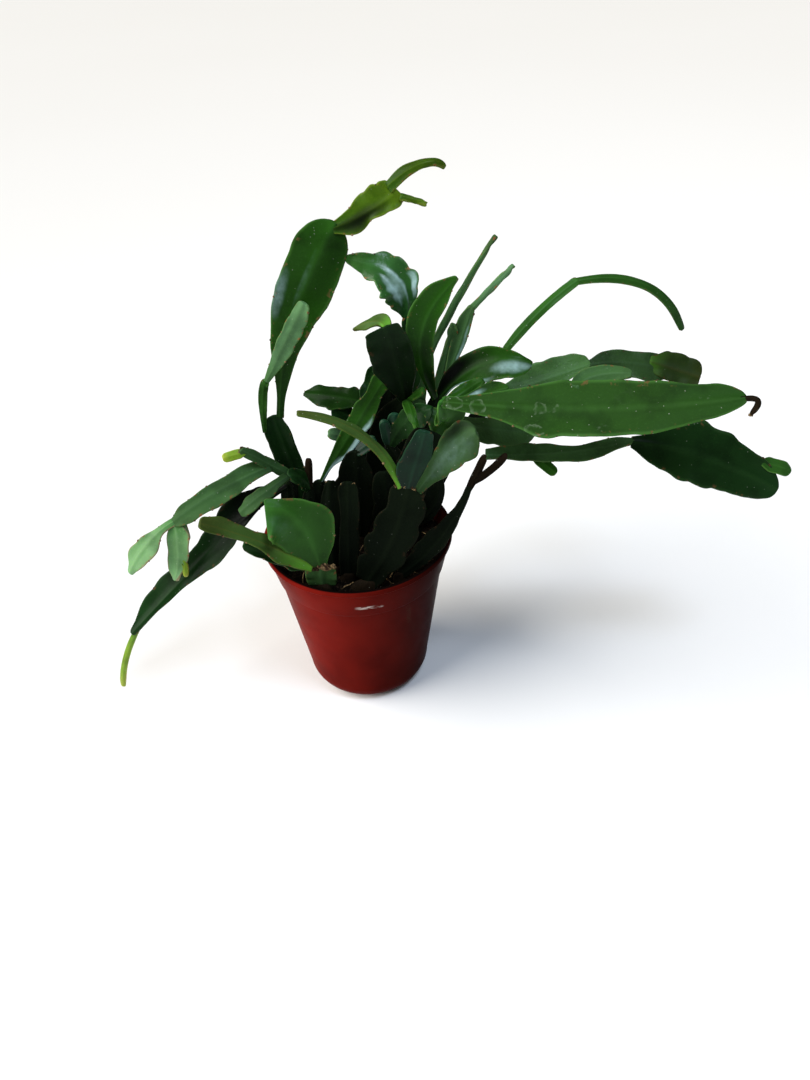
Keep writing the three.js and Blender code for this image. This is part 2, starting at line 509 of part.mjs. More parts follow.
const makeSoil = () => {
  const collarBottom = POT.height - POT.collarHeight;
  const profile = [
    new THREE.Vector2(0, POT.wall + SOIL.gap),
    ...roundedFoot(POT.wall + SOIL.gap),
    new THREE.Vector2(insideRadius(collarBottom) - SOIL.gap, collarBottom),
    new THREE.Vector2(insideRadius(SOIL.top) - SOIL.gap, SOIL.top),
    new THREE.Vector2(0, SOIL.top),
  ];
  let soil = toSolid(lathe(profile, SOIL.sides));
  for (const { foot } of Object.values(STEMS)) {
    const hole = {
      ...foot,
      width: foot.width + 2 * FOOT.gap,
      depth: foot.depth + 2 * FOOT.gap,
      bottom: SOIL.top - FOOT.depth - FOOT.gap,
      top: SOIL.top + CUT_BEYOND,
      sides: FOOT.sides,
    };
    soil = soil.subtract(uprightEllipse(hole));
  }
  return soil;
};

// ---------------------------------------------------------------- one stem segment
const direction = ([azimuth, elevation]) => {
  const turn = THREE.MathUtils.degToRad(azimuth);
  const rise = THREE.MathUtils.degToRad(elevation);
  return new THREE.Vector3(
    Math.cos(rise) * Math.cos(turn),
    Math.cos(rise) * Math.sin(turn),
    Math.sin(rise),
  );
};

// The spine is a quadratic curve from the start through `via`, reached halfway, to `to`.
const makeSpine = (start, segment) => {
  const end = new THREE.Vector3(...segment.to);
  const half = segment.via
    ? new THREE.Vector3(...segment.via)
    : start.clone().lerp(end, 0.5);
  const control = half.multiplyScalar(2).addScaledVector(start, -0.5).addScaledVector(end, -0.5);
  return new THREE.QuadraticBezierCurve3(start, control, end);
};

// Position on the spine with the blade's three directions there: along, side and normal.
const stationAt = (spine, segment, t) => {
  const along = spine.getTangent(t);
  const normal = direction(segment.faces).projectOnPlane(along).normalize();
  normal.applyAxisAngle(along, THREE.MathUtils.degToRad(segment.twist * (t - 0.5)));
  return { point: spine.getPoint(t), along, normal, side: normal.clone().cross(along) };
};

// A crenation is notched at its areole (phase 0) and full over the rest of its length.
const crenation = (phase, notch) => {
  const within = phase - Math.floor(phase);
  const distance = Math.min(within, 1 - within) * BLADE.stationsPerLobe;
  return 1 - notch * Math.max(0, 1 - distance);
};

// The distance between midrib and margin, from the list of them at even steps along the segment.
const betweenSteps = (distances, t) => {
  const place = t * (distances.length - 1);
  const step = Math.min(Math.floor(place), distances.length - 2);
  return THREE.MathUtils.lerp(distances[step], distances[step + 1], place - step);
};

// `margin` is "left" or "right"; the right margin's crenations stand off the left's.
const halfWidth = (segment, t, margin) => {
  const neck = segment.neck / 2;
  const grown = THREE.MathUtils.smoothstep(t, 0, segment.neckEnd);
  let half = segment[margin]
    ? betweenSteps(segment[margin], t)
    : neck + (segment.width / 2 - neck) * grown;
  if (t > segment.tipStart) {
    const share = (t - segment.tipStart) / (1 - segment.tipStart);
    half *= segment.tipWidth + (1 - segment.tipWidth) * Math.sqrt(1 - share * share);
  }
  if (segment.lobes > 0) {
    const shift = margin === "left" ? 0 : BLADE.rightShift;
    half *= crenation(t * segment.lobes + shift, segment.notch * grown);
  }
  return half;
};

// One ring has six points: the left margin, midrib and right margin on the upper face, then the
// same three on the lower face in the opposite order.
const ringAt = (spine, segment, t) => {
  const { point, normal, side } = stationAt(spine, segment, t);
  const lift = Math.tan(THREE.MathUtils.degToRad(segment.fold));
  const left = halfWidth(segment, t, "left");
  const right = halfWidth(segment, t, "right");
  const place = (across, rise) =>
    point.clone().addScaledVector(side, across).addScaledVector(normal, rise);
  const edge = BLADE.edge / 2;
  const rib = BLADE.rib / 2;
  return [
    place(left, lift * left + edge),
    place(0, rib),
    place(-right, lift * right + edge),
    place(-right, lift * right - edge),
    place(0, -rib),
    place(left, lift * left - edge),
  ];
};

// Both faces are split along the same diagonals, so the blade keeps its thickness where it waves.
const RING_POINTS = 6;
const FLIPPED = new Set([1, 4]);

const sideTriangles = (ring, next, corner) => {
  const after = (corner + 1) % RING_POINTS;
  const [a, b, c, d] = [ring + corner, ring + after, next + corner, next + after];
  return FLIPPED.has(corner) ? [a, b, c, b, d, c] : [a, b, d, a, d, c];
};

const capTriangles = (ring, outward) => {
  const faces = outward
    ? [0, 1, 4, 0, 4, 5, 1, 2, 3, 1, 3, 4]
    : [0, 4, 1, 0, 5, 4, 1, 3, 2, 1, 4, 3];
  return faces.map((corner) => ring + corner);
};

const stationCount = (segment, length) => {
  const outlined = segment.left ? segment.left.length - 1 : 0;
  return segment.lobes > 0
    ? Math.max(segment.lobes * BLADE.stationsPerLobe, outlined)
    : Math.max(BLADE.fewestSteps, Math.round(length / BLADE.stationStep), outlined);
};

const makeBlade = (spine, segment) => {
  const steps = stationCount(segment, spine.getLength());
  const points = [];
  const triangles = [];
  for (let i = 0; i <= steps; i += 1) {
    points.push(...ringAt(spine, segment, i / steps));
    if (i < steps) {
      for (let corner = 0; corner < RING_POINTS; corner += 1) {
        triangles.push(...sideTriangles(i * RING_POINTS, (i + 1) * RING_POINTS, corner));
      }
    }
  }
  triangles.push(...capTriangles(0, false), ...capTriangles(steps * RING_POINTS, true));
  const geometry = new THREE.BufferGeometry().setFromPoints(points);
  geometry.setIndex(triangles);
  return toSolid(geometry);
};

// ---------------------------------------------------------------- a whole stem
// A segment's root starts inside its parent, at a fraction along the spine and across the blade.
const rootPoint = (stem, spines, segment) => {
  if (segment.from === "foot") {
    return new THREE.Vector3(...stem.foot.at, SOIL.top + FOOT.stand - FOOT.rootIn);
  }
  const parent = { ...SEGMENT, ...stem.segments[segment.from] };
  const { point, normal, side } = stationAt(spines[segment.from], parent, segment.at);
  const across = segment.side * halfWidth(parent, segment.at, segment.side > 0 ? "left" : "right");
  const lift = Math.abs(across) * Math.tan(THREE.MathUtils.degToRad(parent.fold));
  return point.addScaledVector(side, across).addScaledVector(normal, lift);
};

const makeStem = (stem) => {
  let solid = uprightEllipse({
    ...stem.foot,
    bottom: SOIL.top - FOOT.depth,
    top: SOIL.top + FOOT.stand,
    sides: FOOT.sides,
  });
  const spines = {};
  for (const [name, fields] of Object.entries(stem.segments)) {
    const segment = { ...SEGMENT, ...fields };
    spines[name] = makeSpine(rootPoint(stem, spines, segment), segment);
    solid = solid.add(makeBlade(spines[name], segment));
  }
  return solid;
};

// ---------------------------------------------------------------- assembly
const plant = new THREE.Group();
addMesh(plant, "pot", makePot(), { color: "#6e2a22", roughness: 0.4, metalness: 0 });
addMesh(plant, "soil", makeSoil(), { color: "#2b2119", roughness: 0.95, metalness: 0 });
for (const [name, stem] of Object.entries(STEMS)) {
  addMesh(plant, name, makeStem(stem), { color: stem.color, roughness: 0.45, metalness: 0 });
}

export default plant;
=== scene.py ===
"""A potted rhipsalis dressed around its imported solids.

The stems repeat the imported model's own spines and widths with finer, softer blades, and the pot
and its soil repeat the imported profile. Sizes are in millimetres here and in metres in the meshes.
"""
import json
import logging
import math
import random
from dataclasses import dataclass, field
from enum import Enum
from typing import Callable, Iterable, Sequence

import bpy
from mathutils import Matrix, Vector, noise

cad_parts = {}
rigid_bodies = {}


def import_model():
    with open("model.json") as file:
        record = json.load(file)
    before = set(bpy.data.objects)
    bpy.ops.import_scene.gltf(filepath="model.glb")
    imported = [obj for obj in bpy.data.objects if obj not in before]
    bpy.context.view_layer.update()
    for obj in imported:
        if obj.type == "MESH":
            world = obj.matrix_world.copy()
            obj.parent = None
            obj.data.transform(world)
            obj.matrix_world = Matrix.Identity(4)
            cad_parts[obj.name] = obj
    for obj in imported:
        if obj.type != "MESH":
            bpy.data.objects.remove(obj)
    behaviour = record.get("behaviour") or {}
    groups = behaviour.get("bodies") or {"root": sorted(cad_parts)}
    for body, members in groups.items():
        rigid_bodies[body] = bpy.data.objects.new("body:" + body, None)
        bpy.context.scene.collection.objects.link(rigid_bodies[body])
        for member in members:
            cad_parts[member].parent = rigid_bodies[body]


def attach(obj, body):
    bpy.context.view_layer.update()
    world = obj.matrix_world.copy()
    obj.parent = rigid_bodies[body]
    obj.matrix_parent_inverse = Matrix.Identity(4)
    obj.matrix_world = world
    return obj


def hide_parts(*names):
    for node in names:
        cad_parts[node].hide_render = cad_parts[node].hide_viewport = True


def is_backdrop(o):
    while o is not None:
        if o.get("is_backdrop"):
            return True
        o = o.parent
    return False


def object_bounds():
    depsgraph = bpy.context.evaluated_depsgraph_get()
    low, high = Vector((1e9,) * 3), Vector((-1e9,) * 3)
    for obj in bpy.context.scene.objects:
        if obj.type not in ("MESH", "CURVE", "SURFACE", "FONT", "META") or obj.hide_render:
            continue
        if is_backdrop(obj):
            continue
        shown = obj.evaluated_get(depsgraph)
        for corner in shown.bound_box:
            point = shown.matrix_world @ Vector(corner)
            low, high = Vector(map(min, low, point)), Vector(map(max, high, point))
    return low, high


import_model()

LOG = logging.getLogger("rhipsalis")
MM = 0.001
CAD_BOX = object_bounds()

Pair = tuple[float, float]
Triple = tuple[float, float, float]
Object = bpy.types.Object
Material = bpy.types.Material
Socket = bpy.types.NodeSocket


# ------------------------------------------------------------------ small helpers
def linear(hex_colour: str) -> tuple[float, float, float, float]:
    """Turns an sRGB hex colour to linear light.

    Args:
        hex_colour: Six hex digits after a hash sign.

    Returns:
        Red, green, blue and an alpha of 1.
    """
    parts = [int(hex_colour[i : i + 2], 16) / 255 for i in (1, 3, 5)]
    red, green, blue = (
        part / 12.92 if part <= 0.04045 else ((part + 0.055) / 1.055) ** 2.4 for part in parts
    )
    return (red, green, blue, 1.0)


def smoothstep(value: float, low: float, high: float) -> float:
    """Returns a smooth rise from 0 at low to 1 at high."""
    share = min(1.0, max(0.0, (value - low) / (high - low)))
    return share * share * (3 - 2 * share)


def only(piece: Object) -> None:
    """Selects one object, and nothing else, and makes it active."""
    bpy.ops.object.select_all(action="DESELECT")
    piece.select_set(True)
    bpy.context.view_layer.objects.active = piece


def primitive(add: Callable, name: str, **sizes: object) -> Object:
    """Adds a primitive with nothing else selected.

    Args:
        add: The operator that adds it.
        name: The new object's name.
        sizes: The operator's own settings.

    Returns:
        The new object.
    """
    bpy.ops.object.select_all(action="DESELECT")
    add(**sizes)
    piece = bpy.context.active_object
    piece.name = piece.data.name = name
    return piece


def finish_with(piece: Object, kind: str, **settings: object) -> None:
    """Adds a modifier with its settings and applies it.

    Args:
        piece: The mesh object to finish.
        kind: Blender's name for the modifier type.
        settings: Values of the modifier's own properties.
    """
    only(piece)
    modifier = piece.modifiers.new(kind.lower(), kind)
    for name, value in settings.items():
        setattr(modifier, name, value)
    bpy.ops.object.modifier_apply(modifier=modifier.name)


def smooth(piece: Object, angle: float | None = None) -> None:
    """Shades an object smooth, or only across edges flatter than an angle in degrees."""
    only(piece)
    if angle is None:
        bpy.ops.object.shade_smooth()
    else:
        bpy.ops.object.shade_smooth_by_angle(angle=math.radians(angle))


def in_edit_mode(piece: Object, *steps: Callable) -> None:
    """Takes each step in edit mode on the whole mesh, then turns its normals outward."""
    only(piece)
    bpy.ops.object.mode_set(mode="EDIT")
    for step in steps:
        bpy.ops.mesh.select_all(action="SELECT")
        step()
    bpy.ops.mesh.select_all(action="SELECT")
    bpy.ops.mesh.normals_make_consistent(inside=False)
    bpy.ops.object.mode_set(mode="OBJECT")


def joined(pieces: Sequence[Object], name: str) -> Object:
    """Joins mesh objects, all with their origins at the world's origin, and names the result."""
    only(pieces[0])
    for piece in pieces[1:]:
        piece.select_set(True)
    bpy.ops.object.join()
    whole = bpy.context.active_object
    whole.name = whole.data.name = name
    return whole


def copied(model: Object, place: Matrix) -> Object:
    """Copies a model with a mesh of its own, and moves that mesh to a place."""
    piece = model.copy()
    piece.data = model.data.copy()
    piece.data.transform(place)
    bpy.context.scene.collection.objects.link(piece)
    return piece


def placement(at: Vector, normal: Vector, size: Triple, turn: float = 0.0) -> Matrix:
    """Returns the matrix that sets a unit model on a point, with its Z along a normal.

    Args:
        at: The point, in metres.
        normal: The direction of the model's own Z axis.
        size: The model's scale along its own axes.
        turn: Radians turned about the normal.

    Returns:
        The combined matrix.
    """
    upright = normal.to_track_quat("Z", "Y").to_matrix().to_4x4()
    spun = Matrix.Rotation(turn, 4, "Z")
    return Matrix.Translation(at) @ upright @ spun @ Matrix.Diagonal((*size, 1.0))


def dress(piece: Object, slot: str, node: str) -> None:
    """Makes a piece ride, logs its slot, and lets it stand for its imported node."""
    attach(piece, "root")
    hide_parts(node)
    LOG.info("%s: %d faces, slot %s, for %s", piece.name, len(piece.data.polygons), slot, node)


# ------------------------------------------------------------------ nodes
def add_node(
    tree: bpy.types.NodeTree,
    kind: str,
    settings: dict[str, object] | None = None,
    inputs: dict[str | int, object] | None = None,
) -> bpy.types.Node:
    """Adds a node, sets its properties, and fills or links its inputs.

    Args:
        tree: The node tree that gets the node.
        kind: The node's type name, after ShaderNode.
        settings: Values of the node's own properties.
        inputs: A value, or a socket to link, for each input by name or number.

    Returns:
        The new node.
    """
    node = tree.nodes.new(f"ShaderNode{kind}")
    for name, value in (settings or {}).items():
        setattr(node, name, value)
    for name, value in (inputs or {}).items():
        if isinstance(value, bpy.types.NodeSocket):
            tree.links.new(value, node.inputs[name])
        else:
            node.inputs[name].default_value = value
    return node


@dataclass
class Recipe:
    """One material's node tree, and the colour that its coats have built up so far."""

    name: str
    base: str = "#000000"
    material: Material = field(init=False)

    def __post_init__(self) -> None:
        """Starts the material with an empty tree and its first colour."""
        self.material = bpy.data.materials.new(self.name)
        self.material.use_nodes = True
        self.tree = self.material.node_tree
        self.tree.nodes.clear()
        self.place = add_node(self.tree, "TexCoord")
        self.colour: object = self.base

    def math(self, operation: str, *values: object) -> Socket:
        """Returns the result of a math node on values or sockets."""
        inputs = dict(enumerate(values))
        return add_node(self.tree, "Math", {"operation": operation}, inputs).outputs[0]

    def times(self, first: object, *others: object) -> Socket:
        """Returns the product of values or sockets."""
        for other in others:
            first = self.math("MULTIPLY", first, other)
        return first

    def off(self, value: Socket, middle: float) -> Socket:
        """Returns how far a value is from its middle, either way."""
        return self.math("ABSOLUTE", self.math("SUBTRACT", value, middle))

    def band(self, value: Socket, low: float, high: float) -> Socket:
        """Returns a smooth 0 to 1 as a value goes from low to high."""
        inputs = {0: value, 1: low, 2: high}
        settings = {"interpolation_type": "SMOOTHSTEP"}
        return add_node(self.tree, "MapRange", settings, inputs).outputs[0]

    def fade(self, value: Socket, low: float, high: float) -> Socket:
        """Returns a smooth 1 to 0 as a value goes from low to high."""
        return self.math("SUBTRACT", 1.0, self.band(value, low, high))

    def coat(self, share: object, over: object) -> None:
        """Lays a colour, a socket or a hex colour, over the coats so far, by a share."""
        under, over = (linear(c) if isinstance(c, str) else c for c in (self.colour, over))
        inputs = {0: share, 6: under, 7: over}
        self.colour = add_node(self.tree, "Mix", {"data_type": "RGBA"}, inputs).outputs[2]

    def grain(self, size: float, detail: float = 2.0, stretch: Triple = (1, 1, 1)) -> Socket:
        """Returns noise whose features are about a size in millimetres.

        Args:
            size: Width of one feature, in millimetres.
            detail: How many finer octaves are added.
            stretch: Scale of the pattern along the object's axes.

        Returns:
            The noise's value, about 0.5 in the mean.
        """
        inputs = {0: self.place.outputs["Object"], 3: stretch}
        mapped = add_node(self.tree, "Mapping", None, inputs)
        inputs = {"Vector": mapped.outputs[0], "Scale": 1 / (size * MM), "Detail": detail}
        return add_node(self.tree, "TexNoise", None, inputs).outputs[0]

    def attribute(self, name: str) -> Socket:
        """Returns the value that the mesh carries under a name, 0 where it has none."""
        return add_node(self.tree, "Attribute", {"attribute_name": name}).outputs["Fac"]

    def cells(self, size: float, waver: float = 0.0) -> tuple[Socket, Sequence[Socket]]:
        """Scatters cell points about a size apart.

        Args:
            size: Width of one cell, in millimetres.
            waver: How far the pattern is pushed about, in millimetres, so that nothing is round.

        Returns:
            The distance to the nearest point, and three random values of its cell.
        """
        vector = self.place.outputs["Object"]
        if waver:
            ripple = 2.5  # times finer than the cells
            inputs = {"Vector": vector, "Scale": ripple / (size * MM), "Detail": 3.0}
            pushed = add_node(self.tree, "TexNoise", None, inputs).outputs["Color"]
            inputs = {0: pushed, 1: (waver * MM,) * 3, 2: vector}
            settings = {"operation": "MULTIPLY_ADD"}
            vector = add_node(self.tree, "VectorMath", settings, inputs).outputs[0]
        inputs = {"Vector": vector, "Scale": 1 / (size * MM)}
        node = add_node(self.tree, "TexVoronoi", None, inputs)
        chance = add_node(self.tree, "SeparateColor", None, {0: node.outputs["Color"]})
        return node.outputs["Distance"], chance.outputs

    def relief(self, height: Socket, depth: float, under: Socket | None = None) -> Socket:
        """Returns a bump normal from a height of 0 to 1 that is so many millimetres deep."""
        inputs = {"Height": height, "Distance": depth * MM, "Strength": 1.0}
        if under is not None:
            inputs["Normal"] = under
        return add_node(self.tree, "Bump", None, inputs).outputs[0]

    def shade(self, **sockets: object) -> Material:
        """Ends the tree with a Principled surface in the colour of all the coats.

        Args:
            sockets: Values or sockets by socket name, with underscores for spaces.

        Returns:
            The finished material.
        """
        inputs = {name.replace("_", " "): value for name, value in sockets.items()}
        inputs["Base Color"] = self.colour
        surface = add_node(self.tree, "BsdfPrincipled", None, inputs)
        add_node(self.tree, "OutputMaterial", None, {"Surface": surface.outputs[0]})
        return self.material


# ------------------------------------------------------------------ finishes
@dataclass(frozen=True)
class Cuticle:
    """The waxed skin of a flat cactus stem: a clear, slightly greasy film over green tissue.

    The waxy film gives a broad soft highlight, the tissue below shows through as mottled green, the
    midrib stays paler, and the margin carries the dry flecks of old areoles. Painted sheen and
    painted shade are laid on where the mesh asks for them.
    """

    body: str  # the broad face
    root: str  # the stalk end
    tip: str
    rib: str
    margin: str
    fleck: str  # dry cork spots along the margin
    roughness: float
    pebble: float = 0.05  # mm, depth of the skin's fine relief
    pebble_size: float = 1.1  # mm, width of one bump of that relief
    dust: float = 0.4  # share of the dust specks that show
    rings: float = 0.0  # strength of dried water rings
    glow: float = 0.04  # share of light that comes through the tissue
    gloss: float = 0.22  # strength of the waxy film's reflection
    wax: str = "#9fc0bd"  # painted sheen: a pale bluish highlight laid on the blade's face
    dark: str = "#050805"  # painted shade: laid on along each blade towards its base and in dark patches
    speck: str = "#b9bfae"
    limescale: str = "#93a88a"  # what a dried drop leaves
    mottle_size: float = 14.0  # mm
    mottle_value: float = 0.62  # brightness of the darker mottles
    fine_size: float = 0.9  # mm, of the palest, finest mottles
    fleck_size: float = 2.2  # mm
    speck_size: float = 1.7  # mm, between specks
    speck_radius: float = 0.11  # as a share of that
    ring_size: float = 11.0  # mm, between rings
    streak_size: float = 2.6  # mm, of the unevenness in the painted sheen
    unevenness: float = 0.16  # how far the roughness varies with the mottles

    def rings_of(self, recipe: Recipe) -> Socket:
        """Returns where the thin, broken outlines of dried drops lie."""
        far, chance = recipe.cells(self.ring_size, 6)
        outer, inner = recipe.band(far, 0.2, 0.31), recipe.band(far, 0.31, 0.34)
        worn = recipe.band(recipe.grain(3, 3), 0.35, 0.6)
        kept = recipe.band(chance[1], 0.3, 0.9)
        return recipe.times(recipe.math("SUBTRACT", outer, inner), kept, worn, self.rings)

    def made(self, name: str) -> Material:
        """Builds the material.

        Args:
            name: The material's name.

        Returns:
            The finished material.
        """
        recipe = Recipe(name, self.root)
        uv = {0: recipe.place.outputs["UV"]}
        along, across, _ = add_node(recipe.tree, "SeparateXYZ", None, uv).outputs
        outward = recipe.math("ABSOLUTE", recipe.math("MULTIPLY_ADD", across, 2.0, -1.0))
        broad = recipe.grain(self.mottle_size, 3)
        recipe.coat(recipe.band(along, 0.0, 0.35), self.body)
        recipe.coat(recipe.band(along, 0.6, 1.05), self.tip)
        recipe.coat(recipe.times(recipe.fade(outward, 0.02, 0.2), 0.35), self.rib)
        recipe.coat(recipe.times(recipe.band(outward, 0.84, 1.0), 0.8), self.margin)
        darker = {"Value": self.mottle_value, "Color": recipe.colour}
        mottle = add_node(recipe.tree, "HueSaturation", None, darker).outputs[0]
        recipe.coat(recipe.band(broad, 0.42, 0.7), mottle)
        paler = recipe.band(recipe.grain(self.fine_size), 0.55, 0.75)
        recipe.coat(recipe.times(paler, 0.22), self.rib)
        flecked = recipe.band(recipe.grain(self.fleck_size), 0.6, 0.68)
        flecked = recipe.times(flecked, recipe.band(outward, 0.72, 0.96))
        recipe.coat(flecked, self.fleck)
        distance, chance = recipe.cells(self.speck_size)
        speck = recipe.math("LESS_THAN", distance, self.speck_radius)
        recipe.coat(recipe.times(speck, recipe.band(chance[0], 0.8, 0.85), self.dust), self.speck)
        if self.rings:
            recipe.coat(self.rings_of(recipe), self.limescale)
        # Painted sheen: a pale bluish highlight laid on where the mesh asks for it, broken up by
        # streaks.
        streaks = recipe.math("MULTIPLY_ADD", recipe.grain(self.streak_size, 3), 0.9, -0.45)
        painted_sheen_mask = recipe.attribute("wax")
        painted_sheen_mask = recipe.math("MULTIPLY_ADD", painted_sheen_mask, streaks, painted_sheen_mask)
        recipe.coat(recipe.band(painted_sheen_mask, 0.1, 0.95), self.wax)
        # Painted shade: darkens the colour where the mesh asks for it.
        recipe.coat(recipe.attribute("dark"), self.dark)
        smoothest = self.roughness - self.unevenness / 2
        rough = recipe.math("MULTIPLY_ADD", broad, self.unevenness, smoothest)
        return recipe.shade(
            Roughness=recipe.math("MULTIPLY_ADD", flecked, 0.3, rough),
            Normal=recipe.relief(recipe.grain(self.pebble_size, 3), self.pebble),
            IOR=1.45,
            Specular_IOR_Level=self.gloss,
            Subsurface_Weight=self.glow,
            Subsurface_Radius=(0.6, 1.0, 0.25),
            Subsurface_Scale=0.0015,
        )


class Tone(Enum):
    """The ages and conditions of the stem segments: body, root, tip, rib, margin, fleck, …"""

    SHADE = Cuticle("#161f13", "#11180e", "#1b2717", "#26321f", "#25281a", "#3f3020", 0.42, 0.07,
                    gloss=0.015)
    DEEP = Cuticle("#163212", "#11260f", "#1a3a18", "#264620", "#2a4822", "#584428", 0.34,
                   gloss=0.06)
    LEAF = Cuticle("#1f450f", "#16360c", "#285416", "#346024", "#406a2a", "#665430", 0.3,
                   gloss=0.06)
    SHEEN = Cuticle("#2e5c28", "#204a20", "#3c7028", "#3e7038", "#4a7838", "#86623a", 0.24, 0.09,
                    1.3, gloss=0.25)
    TEAL = Cuticle("#12301f", "#10281a", "#183c28", "#244a34", "#264a30", "#54442c", 0.3,
                   gloss=0.12)
    SPOTTED = Cuticle("#274a16", "#244414", "#264e18", "#3a6428", "#487834", "#665430", 0.46,
                      rings=0.25, dust=0.8, gloss=0.05)
    PEBBLED = Cuticle("#426834", "#3a5e30", "#466e36", "#507848", "#527a44", "#5c482c", 0.42,
                      0.22, 1.5, gloss=0.12)
    GRASS = Cuticle("#2e5a1e", "#264c18", "#326424", "#3e702c", "#4c7832", "#665430", 0.34,
                    gloss=0.07)
    DULL = Cuticle("#385a30", "#2e4e28", "#406236", "#4a6c44", "#4c6a38", "#764c2c", 0.46, 0.1,
                   gloss=0.05)
    GREYED = Cuticle("#547c50", "#42683a", "#5c8456", "#628a58", "#5e8048", "#8a5c34", 0.46, 0.1,
                     gloss=0.07)
    YOUNG = Cuticle("#405e0e", "#2e5010", "#526e14", "#5e7c1e", "#6e8228", "#765428", 0.36,
                    glow=0.2, gloss=0.08)
    FRESH = Cuticle("#7a9c26", "#5c8a20", "#a0a83a", "#96b040", "#a8a83c", "#a0743c", 0.36,
                    glow=0.2)
    PALE = Cuticle("#6c9860", "#4c7e42", "#7ca672", "#88b078", "#967f62", "#90543c", 0.42,
                   glow=0.15, gloss=0.12)
    OLIVE = Cuticle("#425e28", "#5f9a30", "#465420", "#5c6028", "#4c6024", "#624628", 0.42,
                    gloss=0.06)
    BARK = Cuticle("#1c160e", "#17120c", "#241b12", "#2a2216", "#1c160e", "#120e09", 0.75, 0.3,
                   gloss=0.02)


@dataclass(frozen=True)
class DeadTissue:
    """Dull dry or rotted plant stuff in two shades, crumbly, fibrous or cracked."""

    dark: str
    pale: str
    size: float  # mm, of its patches
    detail: float
    turns_pale: Pair  # the noise's values between which dark turns pale
    depth: float  # mm, of its relief
    roughness: float
    gloss: float = 0.05
    index: float = 1.45  # of refraction
    stretch: Triple = (1, 1, 1)
    crack_size: float = 0.0  # mm

    def made(self, name: str) -> Material:
        """Builds the material under a name and returns it."""
        recipe = Recipe(name, self.dark)
        height = recipe.grain(self.size, self.detail, self.stretch)
        recipe.coat(recipe.band(height, *self.turns_pale), self.pale)
        if self.crack_size:
            height = recipe.grain(self.crack_size, 3)
            recipe.coat(recipe.band(height, 0.6, 0.75), self.dark)
        return recipe.shade(
            Roughness=self.roughness, Normal=recipe.relief(height, self.depth), IOR=self.index,
            Specular_IOR_Level=self.gloss,
        )


CORK = DeadTissue("#33251a", "#86704f", 1.6, 4, (0.4, 0.6), 0.3, 0.9, crack_size=0.5)
STRAW = DeadTissue("#3c2e1e", "#7c6848", 0.8, 3, (0.35, 0.65), 0.15, 0.8, stretch=(1, 0.4, 1))
PEAT = DeadTissue("#0b0806", "#2c221a", 1.4, 5, (0.48, 0.75), 0.8, 0.95, gloss=0.02, index=1.4)


@dataclass(frozen=True)
class Mark:
    """A rub or stain on the pot's front, centred at x and z in millimetres."""

    x: float
    z: float
    half_width: float
    half_height: float
    strength: float
    dark: bool = False


@dataclass(frozen=True)
class MouldedPolypropylene:
    """Injection moulded polypropylene: even colour, satin skin, scuffs that turn it white."""

    body: str = "#781810"
    shadow: str = "#64120c"
    painted_pot_shade: str = "#1c0503"  # painted shade, laid on the pot's right side and towards its bottom
    scuff: str = "#c9bdb6"
    dirt: str = "#3a2018"
    painted_lip_shade: str = "#0c0706"  # painted shade on the inner edge of the lip's top, at the front
    marks: tuple[Mark, ...] = (
        Mark(3.2, 76.6, 5.6, 1.3, 0.9),
        Mark(8.5, 76.0, 3.0, 0.7, 0.7),
        Mark(22.0, 62.0, 1.5, 9.0, 0.75, dark=True),
        Mark(24.0, 46.0, 1.2, 8.0, 0.6, dark=True),
    )

    def shown(self, recipe: Recipe, mark: Mark, x: Socket, z: Socket) -> Socket:
        """Returns how strongly a mark shows, torn and fading out towards its edges."""
        half_width, half_height = mark.half_width * MM, mark.half_height * MM
        inside = recipe.times(
            recipe.fade(recipe.off(x, mark.x * MM), half_width * 0.4, half_width),
            recipe.fade(recipe.off(z, mark.z * MM), half_height * 0.3, half_height),
        )
        return recipe.times(inside, recipe.band(recipe.grain(1.1, 4, (0.35, 1, 1.6)), 0.40, 0.56))

    def made(self, name: str) -> Material:
        """Builds the material under a name and returns it."""
        recipe = Recipe(name, self.body)
        place = {0: recipe.place.outputs["Object"]}
        x, y, z = add_node(recipe.tree, "SeparateXYZ", None, place).outputs
        recipe.coat(recipe.band(recipe.grain(22, 3), 0.35, 0.7), self.shadow)
        # Painted shade: darker towards the right side and towards the bottom.
        recipe.coat(recipe.band(x, -0.03, 0.042), self.painted_pot_shade)
        recipe.coat(recipe.times(recipe.fade(z, 0.0, 0.05), 0.3), self.painted_pot_shade)
        # Painted shade on the inner edge of the lip's top, at the front.
        reach = recipe.math("ADD", recipe.times(x, x), recipe.times(y, y))
        on_lip = recipe.times(
            recipe.band(z, 0.0864, 0.0868), recipe.fade(reach, 0.0440**2, 0.0446**2)
        )
        recipe.coat(recipe.times(on_lip, recipe.fade(y, -0.02, 0.0)), self.painted_lip_shade)
        front = recipe.fade(y, -0.030, -0.026)
        for mark in self.marks:
            share = recipe.times(self.shown(recipe, mark, x, z), front, mark.strength)
            recipe.coat(share, self.dirt if mark.dark else self.scuff)
        splashed = recipe.band(recipe.grain(3, 4), 0.5, 0.7)
        recipe.coat(recipe.times(recipe.fade(z, 0.0, 0.012), splashed, 0.35), self.dirt)
        fine = recipe.relief(recipe.grain(0.5), 0.012)
        return recipe.shade(
            Roughness=recipe.math("MULTIPLY_ADD", recipe.grain(9, 4), 0.2, 0.26),
            Normal=recipe.relief(recipe.grain(16, 1), 0.25, fine), IOR=1.49,
            Specular_IOR_Level=0.006, Subsurface_Weight=0.03, Subsurface_Radius=(1.0, 0.3, 0.2),
            Subsurface_Scale=0.002,
        )


